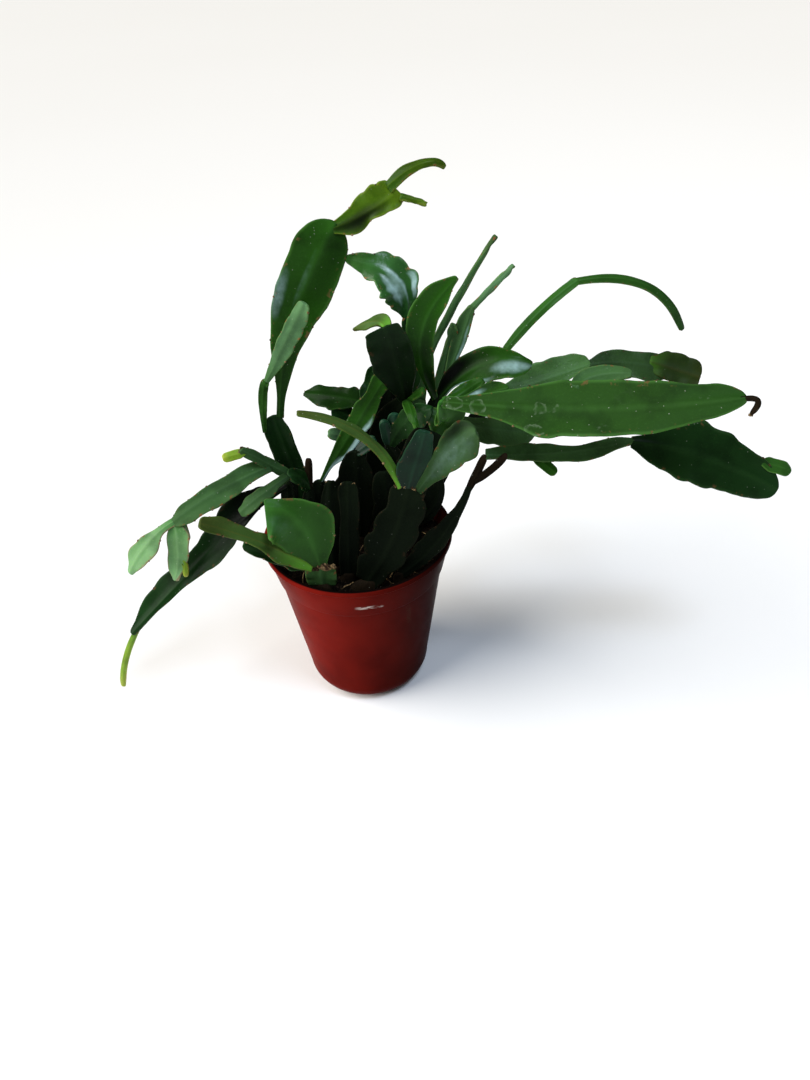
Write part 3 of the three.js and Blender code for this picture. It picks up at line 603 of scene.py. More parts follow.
@dataclass(frozen=True)
class PaintedBoard:
    """A matt, pale painted board under the pot."""

    colour: str = "#f4f3f1"
    brushed: str = "#f7f6f5"

    def made(self, name: str) -> Material:
        """Builds the material under a name and returns it."""
        recipe = Recipe(name, self.colour)
        recipe.coat(recipe.grain(900, 1), self.brushed)
        return recipe.shade(Roughness=0.9, IOR=1.45)


# ------------------------------------------------------------------ the plant
@dataclass(frozen=True)
class Foot:
    """Where a stem stands in the soil, and the size of its base there, in millimetres."""

    at: Pair
    width: float
    depth: float
    turn: float


@dataclass(frozen=True)
class Patch:
    """A soft-edged patch on a blade's face, with a painted highlight or painted shade on it."""

    along: float  # its centre, as a fraction of the blade's length
    across: float  # its centre, -1 at the right margin and 1 at the left
    length: float  # half its length, as a fraction of the blade's
    width: float  # half its width, in the units of across
    strength: float  # above 0 for a bluish painted highlight, below 0 for painted shade

    def at(self, t: float, across: float) -> float:
        """Returns the patch's strength at a place on the blade."""
        far = ((t - self.along) / self.length) ** 2 + ((across - self.across) / self.width) ** 2
        return self.strength * max(0.0, 1 - far)


@dataclass(frozen=True)
class Segment:
    """One flat stem segment.

    It runs from its parent's tip, or from the stem's foot, through via to the point to. Its
    broad face looks towards faces, an azimuth and an elevation in degrees.
    """

    name: str
    parent: str
    to: Triple
    via: Triple | None = None
    at: float = 0.97  # fraction along the parent where it grows
    side: float = 0.0  # -1 to 1, across the parent
    width: float = 12.0
    neck: float = 4.0  # width of the stalk at the base
    neck_end: float = 0.25
    tip_start: float = 0.75
    tip_width: float = 0.35
    left: tuple[float, ...] = ()  # mm from midrib to margin at even steps, for uneven blades
    right: tuple[float, ...] = ()
    lobes: int = 0  # crenations on each margin
    notch: float = 0.16
    fold: float = 8.0  # degrees by which both halves rise from the midrib
    twist: float = 0.0
    faces: Pair = (268, 35)
    tone: Tone = Tone.LEAF
    painted_shade: Pair = (0.0, 0.0)  # painted shade, from 0 to 1, at base and tip
    # patches of painted highlight and painted shade
    patches: tuple[Patch, ...] = ()
    corner: float = 0.4  # roundness of the tip's corners, as a share of its half width
    wave: float = 0.05  # waving of the margins, as a share of the width
    cork: float = 0.0  # mm, size of the dry crust on the tip


@dataclass(frozen=True)
class Stem:
    """A whole stem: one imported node, its material slot, its foot and its chained segments."""

    node: str
    slot: str
    foot: Foot
    segments: tuple[Segment, ...]


@dataclass
class Blade:
    """The surface of one segment, from its spine, width and fold."""

    segment: Segment
    start: Vector  # mm
    edge: float = 0.75  # mm, thickness at the margin
    rib: float = 2.1  # mm, thickness at the midrib
    rib_reach: float = 1.4  # mm, half width of the midrib's swelling
    tooth_lean: float = 1.7  # above 1, crenations lean towards the tip
    tooth_fullness: float = 0.55  # below 1, crenations are full with narrow notches
    right_shift: float = 1 / 3  # how far the right margin's areoles stand off the left's
    wander: float = 0.03  # share by which the width wanders
    wander_rate: float = 0.35  # per mm along the blade
    thinnest: float = 0.3  # mm, from midrib to margin
    slow_wave: float = 1.6  # waves of the margin along the blade
    quick_wave: float = 3.7
    wave_lag: float = 1.7  # radians between the margins' waves
    across_steps: int = 12
    steps_per_lobe: int = 9
    step_length: float = 1.6  # mm, between stations where there are no crenations
    fewest_steps: int = 10
    crowding: float = 1.15  # above 1, stations crowd together towards the tip

    def __post_init__(self) -> None:
        """Works out the spine's control point, its length, and the seeds of its unevenness."""
        end = Vector(self.segment.to)
        half = Vector(self.segment.via) if self.segment.via else self.start.lerp(end, 0.5)
        self.end = end
        self.control = half * 2 - self.start * 0.5 - end * 0.5
        points = [self.point(i / 16) for i in range(17)]
        self.length = sum((b - a).length for a, b in zip(points, points[1:]))
        chance = random.Random(f"{self.segment.name}{self.segment.to}")
        self.phase = chance.uniform(0, math.tau)
        self.lobe_sizes = [chance.uniform(0.9, 1.08) for _ in range(self.segment.lobes + 3)]

    def point(self, t: float) -> Vector:
        """Returns the spine's point at a fraction of its length, in millimetres."""
        s = 1 - t
        return self.start * (s * s) + self.control * (2 * s * t) + self.end * (t * t)

    def frame(self, t: float) -> tuple[Vector, Vector, Vector]:
        """Returns the blade's directions along, across and out of its face at a fraction."""
        along = (self.control - self.start) * (1 - t) + (self.end - self.control) * t
        along.normalize()
        azimuth, elevation = (math.radians(a) for a in self.segment.faces)
        flat = math.cos(elevation)
        look = Vector((flat * math.cos(azimuth), flat * math.sin(azimuth), math.sin(elevation)))
        normal = (look - along * look.dot(along)).normalized()
        normal.rotate(Matrix.Rotation(math.radians(self.segment.twist) * (t - 0.5), 3, along))
        return along, normal.cross(along), normal

    def drawn_width(self, distances: tuple[float, ...], t: float) -> float:
        """Returns the value at a fraction along a smooth curve through even distances."""
        last = len(distances) - 1
        place = min(t, 1.0) * last
        step = min(int(place), last - 1)
        a, b, c, d = (distances[min(max(step + k, 0), last)] for k in (-1, 0, 1, 2))
        s = place - step
        bend = (c - a) * s + (2 * a - 5 * b + 4 * c - d) * s**2 + (3 * (b - c) + d - a) * s**3
        return max(self.thinnest, b + 0.5 * bend)

    def half_width(self, t: float, across: float) -> float:
        """Returns the width from midrib to margin at a fraction along the blade.

        Args:
            t: Fraction along the spine.
            across: Above 0 for the left margin, otherwise for the right.

        Returns:
            The half width in millimetres.
        """
        segment = self.segment
        shift = 0.0 if across > 0 else self.right_shift
        drawn = segment.left if across > 0 else segment.right
        neck = segment.neck / 2
        grown = smoothstep(t, 0, segment.neck_end)
        half = neck + (segment.width / 2 - neck) * grown
        if drawn:
            half = self.drawn_width(drawn, t)
        if t > segment.tip_start:
            share = (t - segment.tip_start) / (1 - segment.tip_start)
            rounded = math.sqrt(max(0.0, 1 - share * share))
            half *= segment.tip_width + (1 - segment.tip_width) * rounded
        if segment.lobes:
            place = t * segment.lobes + shift
            lobe = int(place)
            swell = math.sin(math.pi * (place - lobe) ** self.tooth_lean)
            half *= 1 - segment.notch * grown * (1 - swell**self.tooth_fullness)
            half *= 1 + (self.lobe_sizes[lobe] - 1) * swell * grown
        seed = Vector((t * self.length * self.wander_rate, shift * 9, self.phase * 5))
        half *= 1 + self.wander * noise.noise(seed)
        radius = max(0.05, segment.corner * half)
        left = (1 - t) * self.length
        if left < radius:
            half -= radius - math.sqrt(radius * radius - (radius - left) ** 2)
        return half

    def surface(self, t: float, across: float) -> Vector:
        """Returns a point of the blade's middle surface.

        Args:
            t: Fraction along the spine.
            across: -1 at the right margin, 0 at the midrib, 1 at the left margin.

        Returns:
            The point in millimetres.
        """
        segment = self.segment
        _, side, normal = self.frame(t)
        reach = abs(across) * self.half_width(t, across)
        rise = math.tan(math.radians(segment.fold)) * (math.sqrt(reach * reach + 1.0) - 1.0)
        swing = 0.0 if across > 0 else self.wave_lag
        waves = math.sin(t * math.tau * self.slow_wave + self.phase + swing)
        waves += 0.5 * math.sin(t * math.tau * self.quick_wave + 2 * self.phase + swing)
        height = segment.wave * segment.width * across * across * smoothstep(t, 0.05, 0.4)
        rise += height * waves
        return self.point(t) + side * math.copysign(reach, across) + normal * rise

    def grown(self, name: str) -> Object:
        """Grows the blade from a flat grid: bent to its form, given its thickness, smoothed.

        Args:
            name: The new object's name.

        Returns:
            The finished blade, in metres.
        """
        steps = self.segment.lobes * self.steps_per_lobe
        if not steps:
            steps = max(self.fewest_steps, round(self.length / self.step_length))
        piece = primitive(
            bpy.ops.mesh.primitive_grid_add, name, x_subdivisions=steps,
            y_subdivisions=self.across_steps, size=1, calc_uvs=True,
        )
        thickness = piece.vertex_groups.new(name="thickness")
        base, tip = self.segment.painted_shade
        skin: dict[str, list[float]] = {"dark": [], "wax": []}
        for vertex in piece.data.vertices:
            t = 1 - max(0.0, 0.5 - vertex.co.x) ** self.crowding
            across = 2 * vertex.co.y
            half = self.half_width(t, across)
            swelling = math.exp(-((across * half / self.rib_reach) ** 2))
            share = (self.edge + (self.rib - self.edge) * swelling) / self.rib
            thickness.add([vertex.index], share, "REPLACE")
            vertex.co = self.surface(t, across) * MM
            # Skin layers: painted shade along the blade and in dark patches, painted sheen in
            # bright ones.
            marks = [patch.at(t, across) for patch in self.segment.patches]
            painted_patch_shade = sum(mark for mark in marks if mark < 0)
            skin["dark"].append(base + (tip - base) * t - painted_patch_shade)
            skin["wax"].append(sum(mark for mark in marks if mark > 0))
        for layer, values in skin.items():
            piece.data.attributes.new(layer, "FLOAT", "POINT").data.foreach_set("value", values)
        finish_with(
            piece, "SOLIDIFY", thickness=self.rib * MM, offset=0, vertex_group="thickness"
        )
        finish_with(piece, "SUBSURF", levels=1, render_levels=1)
        smooth(piece)
        return piece

    def areoles(self) -> Iterable[tuple[Vector, Vector]]:
        """Yields the place and outward direction of each areole, in its crenation's notch."""
        inset = 0.985  # of the way to the margin, and of the length
        for number in range(1, self.segment.lobes + 1):
            for across in (1, -1):
                shift = 0.0 if across > 0 else self.right_shift
                t = (number - shift) / self.segment.lobes
                if self.segment.neck_end * 0.6 < t < inset:
                    _, side, _ = self.frame(t)
                    yield self.surface(t, across * inset) * MM, side * across


def carrier(to: Triple, via: Triple, faces: Pair = (270, 20), **shape: object) -> Segment:
    """Returns the old dark first segment, with painted shade, that bears a chain's younger ones."""
    return Segment(
        "carrier", "foot", to, via, faces=faces, tone=Tone.SHADE, painted_shade=(0.85, 0.6), **shape
    )


STEMS = (
    Stem("stem_front_broad", "stem_dark", Foot((4, -32), 16, 5.5, 0), (
        Segment("blade", "foot", (25, -25, 130), (17, -29, 105), tip_start=0.95, tip_width=0.92,
            left=(6, 10, 11.2, 11.8, 11, 8, 7.8), right=(5, 7, 9.4, 10.4, 11, 9.8, 9.6), lobes=4,
            notch=0.26, faces=(270, 30), tone=Tone.SHADE, corner=0.25, cork=1.5, painted_shade=(0.8, 0.6)),
        Segment("blunt", "blade", (33, -24, 156), tip_start=0.93, tip_width=0.8,
            left=(3, 7, 7.2, 5.6, 3.6), right=(3, 4.7, 6.2, 5.4, 4), lobes=2, notch=0.08, fold=14,
            faces=(275, 20), tone=Tone.TEAL, corner=0.35, painted_shade=(0.45, 0.25)),
        Segment("behind", "blade", (36.5, -16, 150.5), side=0.1, width=17, neck=6, tip_width=0.6,
            faces=(270, 25), tone=Tone.SHADE, painted_shade=(0.8, 0.7)),
        Segment("open", "blade", (53, -33, 159), (41, -30, 146), side=-0.55, tip_start=0.85,
            tip_width=0.5, left=(2, 3.2, 5.5, 7.6, 8.8, 7), right=(2, 3.6, 6, 7.4, 8, 6.5),
            lobes=4, notch=0.1, faces=(285, 55), tone=Tone.DULL, wave=0.08, painted_shade=(0.6, 0.35),
            patches=(Patch(0.55, -0.1, 0.6, 1.1, 0.3), Patch(0.8, 0.75, 0.3, 0.4, -0.5))),
        Segment("arch", "blade", (-18, -22, 166), (8, -22, 153), side=0.4, width=5.5, neck=3,
            tip_width=0.4, lobes=4, fold=4, faces=(250, 75), tone=Tone.OLIVE, painted_shade=(0.1, 0.1)),
    )),
    Stem("stem_front_stump", "stem_green", Foot((-16, -32), 12, 5, -30), (
        Segment("stump", "foot", (-15.7, -33.5, 95.6), width=14, neck=12, tip_start=0.95,
            tip_width=0.9, fold=4, faces=(268, 25), tone=Tone.DULL, corner=0.1, cork=2.6,
            painted_shade=(0.1, 0.1)),
        Segment("square", "stump", (-34.9, -35, 129.8), (-22.1, -34, 121.4), tip_start=0.96,
            tip_width=0.9, left=(3, 10, 14, 14.5, 14.5, 14), right=(3, 10, 14, 9, 4.6, 4),
            lobes=3, notch=0.04, fold=6, faces=(272, 42), tone=Tone.GRASS, corner=0.08,
            painted_shade=(0.2, 0), patches=(Patch(0.7, 0.5, 0.6, 0.6, 0.2),
            Patch(0.45, -0.6, 0.5, 0.5, -0.3))),
        Segment("folded", "stump", (-60, -46, 132), (-39, -40, 116), side=0.5, tip_start=0.95,
            tip_width=0.8, left=(2.5, 4.6, 6, 2.8, 2.3, 3, 2.5),
            right=(2.5, 3.5, 4, 4, 4, 4.5, 3.2), lobes=5, notch=0.08, fold=24, faces=(290, 50),
            tone=Tone.OLIVE),
        Segment("lower", "stump", (-46, -38, 114), (-33, -36, 105), side=0.8, width=8, neck=4,
            lobes=3, fold=10, faces=(285, 30), tone=Tone.DEEP),
    )),
    Stem("stem_front_round", "stem_dark", Foot((-4, -26), 9, 4.4, 0), (
        Segment("blade", "foot", (-1, -17, 128.5), (-3, -22, 102), tip_start=0.88, tip_width=0.5,
            left=(4, 4.5, 4.5, 3.6, 3.6, 5), right=(4, 5, 5.5, 5.5, 5.6, 5.6), lobes=3,
            notch=0.14, fold=12, faces=(268, 30), tone=Tone.SHADE, cork=0.7, painted_shade=(0.85, 0.65)),
    )),
    Stem("stem_front_brown", "stem_dark", Foot((-11, -21), 9, 4.4, 0), (
        Segment("blade", "foot", (-9, -12, 126), (-11, -16, 103), tip_start=0.95, tip_width=0.7,
            left=(4, 5, 5, 5, 4.2, 2), right=(4, 5, 5, 6, 5, 3), lobes=3, notch=0.1, fold=-10,
            faces=(262, 28), tone=Tone.SHADE, cork=0.7, painted_shade=(0.85, 0.7)),
    )),
    Stem("stem_middle_tall", "stem_dark", Foot((1, 1), 8, 4.4, 0), (
        Segment("blade", "foot", (3, -3, 135), (2, -1, 106), tip_width=0.5,
            left=(3, 8, 11, 10, 6), right=(3, 6.5, 8, 8, 6), lobes=4, faces=(262, 25),
            tone=Tone.SHADE, cork=0.7, painted_shade=(0.85, 0.75)),
        Segment("sprout", "blade", (12, -2, 140), width=6, neck=3, faces=(270, 60),
            tone=Tone.TEAL, painted_shade=(0.3, 0.3)),
    )),
    Stem("stem_middle_round", "stem_dark", Foot((13, -6), 8, 4.4, 10), (
        Segment("blade", "foot", (15, -7, 126), (14.5, -7, 101), width=13, neck=6, tip_start=0.7,
            tip_width=0.6, lobes=3, faces=(274, 28), tone=Tone.SHADE, painted_shade=(0.85, 0.75)),
    )),
    Stem("stem_right_low", "stem_dark", Foot((19, -28), 8, 4.4, 20), (
        Segment("blade", "foot", (51.5, -21, 125), (37.5, -24, 99), tip_start=0.98, tip_width=0.9,
            left=(2.5, 5, 6.5, 6.5, 4.4, 2.2, 1.2), right=(2.2, 2.8, 3.6, 3.8, 3, 2, 1.3),
            lobes=5, notch=0.1, fold=12, faces=(272, 30), tone=Tone.SHADE, painted_shade=(0.6, 0.6)),
        Segment("fork", "blade", (58.5, -17, 138), width=3.6, neck=2.8, faces=(270, 30),
            tone=Tone.BARK),
        Segment("spur", "fork", (66.5, -23, 141.5), (60.5, -21, 133), at=0.2, width=3.4, neck=2.6,
            faces=(270, 40), tone=Tone.BARK),
        Segment("strap", "fork", (124, -10, 136), (91, -13, 134),
            left=(3, 4.6, 5, 4.8, 3.6, 2.6, 3.6, 4, 3),
            right=(1.8, 1.4, 2.6, 3.4, 4.4, 5.4, 4.8, 2.4, 1.6), lobes=6, notch=0.08, fold=14,
            faces=(272, 50), tone=Tone.DULL, painted_shade=(0.25, 0.15)),
        Segment("bud", "strap", (89, -18, 126.8), at=0.32, width=5, neck=3, tip_width=0.5,
            faces=(270, 40)),
        Segment("droop", "strap", (188, -18, 111.5), (153, -14, 128.5), tip_start=0.88,
            tip_width=0.35, left=(2.5, 5.2, 10.3, 14.6, 13, 11.6, 9.2, 6),
            right=(2.5, 8, 10.8, 12.6, 12, 11.8, 9.4, 7), lobes=6, notch=0.05, fold=6,
            faces=(258, 38), tone=Tone.DEEP, wave=0.06, painted_shade=(0.15, 0.25)),
        Segment("shoot", "droop", (195, -12, 117), at=0.84, side=0.8, width=7, neck=3,
            tip_width=0.15, faces=(270, 50), tone=Tone.GRASS, corner=0.05),
    )),
    Stem("stem_right_long", "stem_green", Foot((27, -4), 8, 4.4, 60), (
        carrier((17, 0, 136), (26, 3, 108), width=7, neck=6),
        Segment("old", "carrier", (38.5, -4, 119), (37, -4, 104), at=0.16, tip_start=0.9,
            tip_width=0.7, left=(2, 5, 6.5, 6.5, 5), right=(2, 3, 3, 3, 2.4), faces=(270, 25),
            tone=Tone.SHADE, painted_shade=(0.85, 0.75)),
        Segment("pointed", "carrier", (16, -2, 149), width=5, neck=3, tip_width=0.2,
            faces=(270, 20), tone=Tone.TEAL, painted_shade=(0.3, 0.1)),
        Segment("teal", "carrier", (21, 0, 151), (20, 0, 143), side=-0.5, width=6, neck=3,
            tip_width=0.6, faces=(270, 20), tone=Tone.TEAL),
        Segment("bridge", "carrier", (37, -6, 155), (26, -3, 148), left=(2.5, 4, 5, 5, 3),
            right=(2.5, 5, 8, 8.5, 6), lobes=3, fold=16, faces=(300, 50), tone=Tone.DEEP),
        Segment("knee", "bridge", (40, -13, 163), (42, -10, 152), at=0.9, tip_start=0.9,
            tip_width=0.7, left=(2.5, 6, 6, 4.6), right=(2.5, 8, 9, 6), fold=14, faces=(300, 25),
            tone=Tone.GRASS, patches=(Patch(0.4, -0.7, 0.4, 0.5, -0.5),)),
        Segment("giant", "knee", (157, -34, 168), (101, -22, 160), tip_start=0.95, tip_width=0.4,
            left=(2.5, 4, 6.4, 9.5, 11, 12.4, 12.6, 12.6, 11.8, 10.8, 9, 7.8, 4),
            right=(2.5, 3.6, 5.5, 9, 12.6, 12.8, 12.6, 12.8, 12.4, 10.6, 8, 6.4, 3.4), lobes=7,
            notch=0.05, fold=5, faces=(264, 52), tone=Tone.SPOTTED, wave=0.05, painted_shade=(0, 0.4)),
        Segment("tongue", "knee", (58.7, -5, 166.9), (50.2, -7, 162.9), at=0.9, tip_start=0.85,
            left=(2, 3, 3.4, 3, 2), right=(2, 3, 3.4, 3, 2), faces=(270, 50)),
        Segment("dry", "giant", (159, -36, 161.5), (161, -35, 167.5), width=2.2, neck=1.8,
            faces=(270, 40), tone=Tone.BARK, cork=0.8),
        Segment("shoulder", "giant", (69, -7, 163.5), (61.3, -9, 162.5), at=0.07, side=0.2,
            tip_start=0.8, tip_width=0.4, left=(2.5, 4, 5, 4.6, 2), right=(2.5, 3, 3, 3, 2),
            faces=(262, 55), tone=Tone.SPOTTED, patches=(Patch(0.2, 0.5, 0.3, 0.4, 0.6),)),
        Segment("side_lobe", "giant", (118.3, -12.1, 169.3), (103.9, -10, 168.3), at=0.44,
            side=0.7, tip_start=0.85, tip_width=0.4, left=(3, 4.5, 4.2, 4, 2.6),
            right=(2, 4, 4, 3.5, 2.4), faces=(264, 52), tone=Tone.DULL, corner=0.1),
        Segment("under", "knee", (84, 8, 133), (67, 2, 138), at=0.2, left=(2, 4, 5, 4.6, 2),
            right=(2, 6, 8, 7, 3), lobes=4, fold=10, faces=(270, 40), tone=Tone.PEBBLED,
            painted_shade=(0.5, 0.5)),
    )),
    Stem("stem_right_back", "stem_dark", Foot((31, 12), 8, 4.4, 60), (
        carrier((67, 16, 149), (46, 16, 117), width=7, neck=6, faces=(280, 25)),
        Segment("textured", "carrier", (111, 28, 154), (90, 22, 151), tip_start=0.95,
            tip_width=0.6, left=(2.5, 4.4, 7.2, 8.4, 8.6, 7.6, 4.6),
            right=(2.5, 4.5, 5, 5, 4.5, 2.4, 1), lobes=4, notch=0.06, fold=10, faces=(270, 45),
            tone=Tone.PEBBLED),
        Segment("outer", "textured", (149, 32, 146), (129, 31, 152), tip_start=0.85,
            tip_width=0.4, left=(2, 5.8, 6.4, 6.3, 6.5, 5.5), right=(2, 5, 6, 8, 7.6, 5.5),
            lobes=3, notch=0.06, fold=8, faces=(270, 48), tone=Tone.PEBBLED, painted_shade=(0.55, 0.6)),
        Segment("last", "outer", (162.5, 28, 144), at=0.75, side=0.3, tip_start=0.88,
            tip_width=0.6, left=(3, 6.7, 8.4, 7.8, 6), right=(3, 6, 6.5, 6.5, 6), lobes=3,
            notch=0.08, faces=(258, 40), tone=Tone.OLIVE, painted_shade=(0.65, 0.65)),
    )),
    Stem("stem_upper_right", "stem_bright", Foot((22, 17), 8, 4.4, 60), (
        carrier((40, 10, 153), (30, 18, 112), width=8, neck=6),
        Segment("bright", "carrier", (49, 8, 206), (33.5, 4, 183), tip_start=0.95, tip_width=0.6,
            left=(1.5, 1.5, 3.8, 6.4, 8, 7, 1.5), right=(1.5, 4.6, 6.4, 5.8, 5.2, 4.2, 1),
            lobes=4, notch=0.1, fold=18, twist=15, faces=(262, 10),
            patches=(Patch(0.3, -0.5, 0.4, 0.7, -0.6),)),
        Segment("low", "carrier", (29.8, 24, 146.3), at=0.6, side=0.8, tip_width=0.8,
            left=(2.5, 4, 4), right=(2.5, 6, 6), faces=(270, 20), tone=Tone.DULL,
            painted_shade=(0.6, 0.3)),
        Segment("tall", "low", (69, 46, 208.5), (46.9, 34, 178),
            left=(3.4, 2.6, 2, 1.8, 1.5, 1.1, 0.7), right=(6, 2.4, 1.2, 1.6, 1.4, 1.1, 0.7),
            faces=(270, 20), tone=Tone.DULL, painted_shade=(0.3, 0)),
        Segment("middle", "carrier", (57, 28, 185), (50, 22, 168), side=-0.5, tip_start=0.9,
            tip_width=0.7, left=(1.5, 1.5, 2.8, 4, 4.4, 4.4, 2),
            right=(1.5, 1.1, 1.7, 2.2, 2.6, 2.2, 1.6), lobes=4, notch=0.1, fold=12,
            faces=(268, 25), tone=Tone.DULL, patches=(Patch(0.5, -0.6, 0.45, 0.4, 0.5),
            Patch(0.5, 0.6, 0.5, 0.5, -0.5))),
        Segment("shaded", "carrier", (48.5, 25, 178.5), (45.4, 23, 168), at=0.9, side=-0.5,
            tip_start=0.9, tip_width=0.7, left=(1.5, 3, 2, 0.9, 1.3, 1.2),
            right=(1.5, 3, 4.2, 4, 3.2, 1.5), faces=(268, 25), tone=Tone.DULL, painted_shade=(0.35, 0.2)),
        Segment("finger", "middle", (76, 38, 198), left=(1.6, 1.4, 1.6, 1.5, 1),
            right=(1.6, 1.3, 1.3, 1.2, 0.8), faces=(270, 30), tone=Tone.GREYED),
        Segment("dark", "carrier", (79.6, 2, 169), (60, 5, 169), side=-0.3, tip_start=0.8,
            tip_width=0.45, left=(2, 6.2, 7.6, 6.8, 5.4, 3.2, 2),
            right=(2, 1.5, 5, 8.6, 9.6, 9, 6.4), lobes=3, notch=0.05, fold=16, faces=(280, 45),
            painted_shade=(0.1, 0.1), patches=(Patch(0.2, 0.6, 0.4, 0.7, -1),
            Patch(0.8, -0.4, 0.32, 0.5, 0.6), Patch(0.3, -0.9, 0.35, 0.25, 0.7))),
        Segment("whip", "dark", (101.4, 26, 194.7), (83.9, 16, 185.8), at=0.72, side=0.85,
            width=4.2, neck=3.4, tip_width=0.9, faces=(270, 45), tone=Tone.GRASS, wave=0.08,
            painted_shade=(-0.2, -0.1)),
        Segment("tail", "whip", (152.4, 34, 165.4), (132.2, 31, 188.2), width=4, neck=3.2,
            tip_width=0.5, faces=(270, 45), tone=Tone.GRASS, wave=0.08, cork=0.8,
            painted_shade=(-0.1, 0.6)),
    )),
    Stem("stem_upper", "stem_dark", Foot((10, 22), 8, 4.4, 0), (
        carrier((27, 7, 153), (15, 17, 124), left=(3, 6, 8, 8, 6), right=(3, 7, 11, 8, 3)),
        Segment("hidden", "carrier", (20.5, 20, 153), (18, 19, 140), at=0.6, width=13, neck=7,
            tip_width=0.6, faces=(270, 25), tone=Tone.SHADE, painted_shade=(0.85, 0.8)),
        Segment("broad", "carrier", (19, -3, 192), (23, 1, 175), tip_start=0.96, tip_width=0.9,
            left=(2.5, 7, 10, 11, 10.4, 9), right=(2.5, 5, 7.5, 8, 8, 6), lobes=4, notch=0.06,
            fold=6, faces=(266, 15), tone=Tone.DEEP, corner=0.08, painted_shade=(0.7, 0.6)),
        Segment("hook", "broad", (6, 3, 188.5), (15, 1, 192), left=(1, 1.2, 2.4, 2.6, 0.6),
            right=(3, 4.8, 3.8, 1.6, 0.6), faces=(270, 60), tone=Tone.OLIVE),
        Segment("neck", "carrier", (28, 17, 187), (31, 16, 170), width=8, neck=4, faces=(270, 20),
            tone=Tone.DEEP),
        Segment("crown", "neck", (4.4, 26, 208.8), (23.7, 20, 202.4), tip_start=0.9,
            tip_width=0.5, left=(2, 8, 10, 10.4, 7.4, 5.4, 1.6),
            right=(2, 4.6, 8, 9, 8.4, 4.6, 3), lobes=6, notch=0.2, fold=12, faces=(280, 35),
            tone=Tone.SHEEN, wave=0.1, patches=(Patch(0.4, 0.35, 0.3, 0.3, 0.8),
            Patch(0.45, -0.12, 0.38, 0.2, 0.7), Patch(0.32, -0.75, 0.16, 0.22, 0.9))),
        Segment("leaf", "carrier", (29.5, -18, 153.6), (27.5, -9, 158),
            left=(1.5, 1.6, 1.9, 1.8, 1), right=(1.5, 2.4, 2.6, 2.2, 1), faces=(270, 40)),
        Segment("twig", "carrier", (34, 0, 161), width=5, neck=3, faces=(270, 60)),
    )),
    Stem("stem_bright", "stem_bright", Foot((-12, 4), 8, 4.4, 0), (
        carrier((-15, 8, 113), (-16, 9, 96), width=8, neck=6, tip_start=0.9, tip_width=0.6),
        Segment("strap", "carrier", (19, 11, 164), (4.5, 7.5, 143.5), tip_start=0.92,
            tip_width=0.5, left=(1, 2.2, 3.3, 4.4, 4.6, 4.8, 3.6, 5, 4),
            right=(1, 1.2, 4.9, 5.6, 5.9, 5.4, 3.6, 3.6, 3.5), lobes=6, notch=0.06, fold=10,
            faces=(266, 25), painted_shade=(0.3, 0.05), patches=(Patch(0.35, -0.85, 0.3, 0.35, 1),
            Patch(0.1, -0.5, 0.15, 0.6, 0.7))),
    )),
    Stem("stem_back_left", "stem_green", Foot((2, 31), 8, 4.4, 0), (
        carrier((7, 23, 145), (4, 29, 114), width=12, neck=6),
        Segment("level", "carrier", (-21, 34, 144), (-5, 28, 144.5),
            left=(2, 4, 7, 7.6, 5.6, 1.8), right=(2, 6.6, 5.6, 5.7, 5.6, 3), lobes=5, notch=0.1,
            faces=(270, 60), cork=0.8, painted_shade=(0.55, 0.6)),
        Segment("inner", "carrier", (-8, 24, 141), (-2, 24, 138), at=0.75, width=9, neck=3.5,
            lobes=2, faces=(270, 30), tone=Tone.DEEP),
        Segment("pale", "carrier", (-10, 14, 134), (-3, 18, 130), at=0.6, width=6, neck=3,
            faces=(270, 30), tone=Tone.GREYED, painted_shade=(0.3, 0.2)),
        Segment("top", "carrier", (14, 33, 157), (11, 29, 149), width=9, neck=4, lobes=2,
            faces=(270, 20), tone=Tone.DEEP),
    )),
    Stem("stem_left_tall", "stem_green", Foot((-24, 17), 9, 4.4, 0), (
        Segment("keeled", "foot", (-34, 16, 144), (-28, 16, 113), tip_start=0.9, tip_width=0.7,
            left=(3.5, 4.7, 5.5, 6.5, 7.2, 7, 5), right=(3.5, 4.7, 5.6, 6, 5.7, 5.4, 4.4),
            lobes=5, notch=0.1, fold=18, faces=(272, 20), tone=Tone.DEEP, painted_shade=(0.5, 0.35)),
        Segment("stalk", "keeled", (-33.8, 14, 162), (-36.6, 14.5, 154.5), at=0.9, side=0.95,
            tip_width=0.9, left=(0.8, 1.9, 2.1, 2), right=(0.8, 2, 2, 1.8), faces=(262, 15)),
        Segment("slender", "stalk", (-13, 11, 198), tip_start=0.95, tip_width=0.75,
            left=(1.3, 2.2, 3.3, 3.4, 3.3, 2.4), right=(1.3, 3, 4.6, 4.8, 4.9, 3.4), lobes=5,
            notch=0.1, fold=6, faces=(262, 15), tone=Tone.GREYED),
        Segment("large", "keeled", (2, 26, 224), (-20.5, 19, 185), side=-0.75, tip_start=0.86,
            tip_width=0.15, left=(1.7, 1.5, 3.5, 7, 9, 11.2, 11, 12.2, 11),
            right=(1.8, 2.6, 4.6, 6.2, 8.7, 11.6, 12.6, 11.8, 10.6), lobes=5, notch=0.05, fold=5,
            faces=(266, 8), wave=0.07, painted_shade=(0.15, 0.1),
            patches=(Patch(0.62, 0.85, 0.16, 0.4, 0.45), Patch(0.9, -0.5, 0.35, 0.6, -0.5),
            Patch(0.72, 0.1, 0.25, 0.15, 0.3))),
        Segment("soft", "large", (27, 28, 235), (17, 27, 228), tip_start=0.96, tip_width=0.9,
            left=(2.5, 4.6, 7.6, 8.1, 7.2, 5.8), right=(2, 6.2, 3.9, 4.4, 5.4, 4.8), lobes=4,
            notch=0.1, fold=12, faces=(275, 35), tone=Tone.YOUNG, wave=0.08,
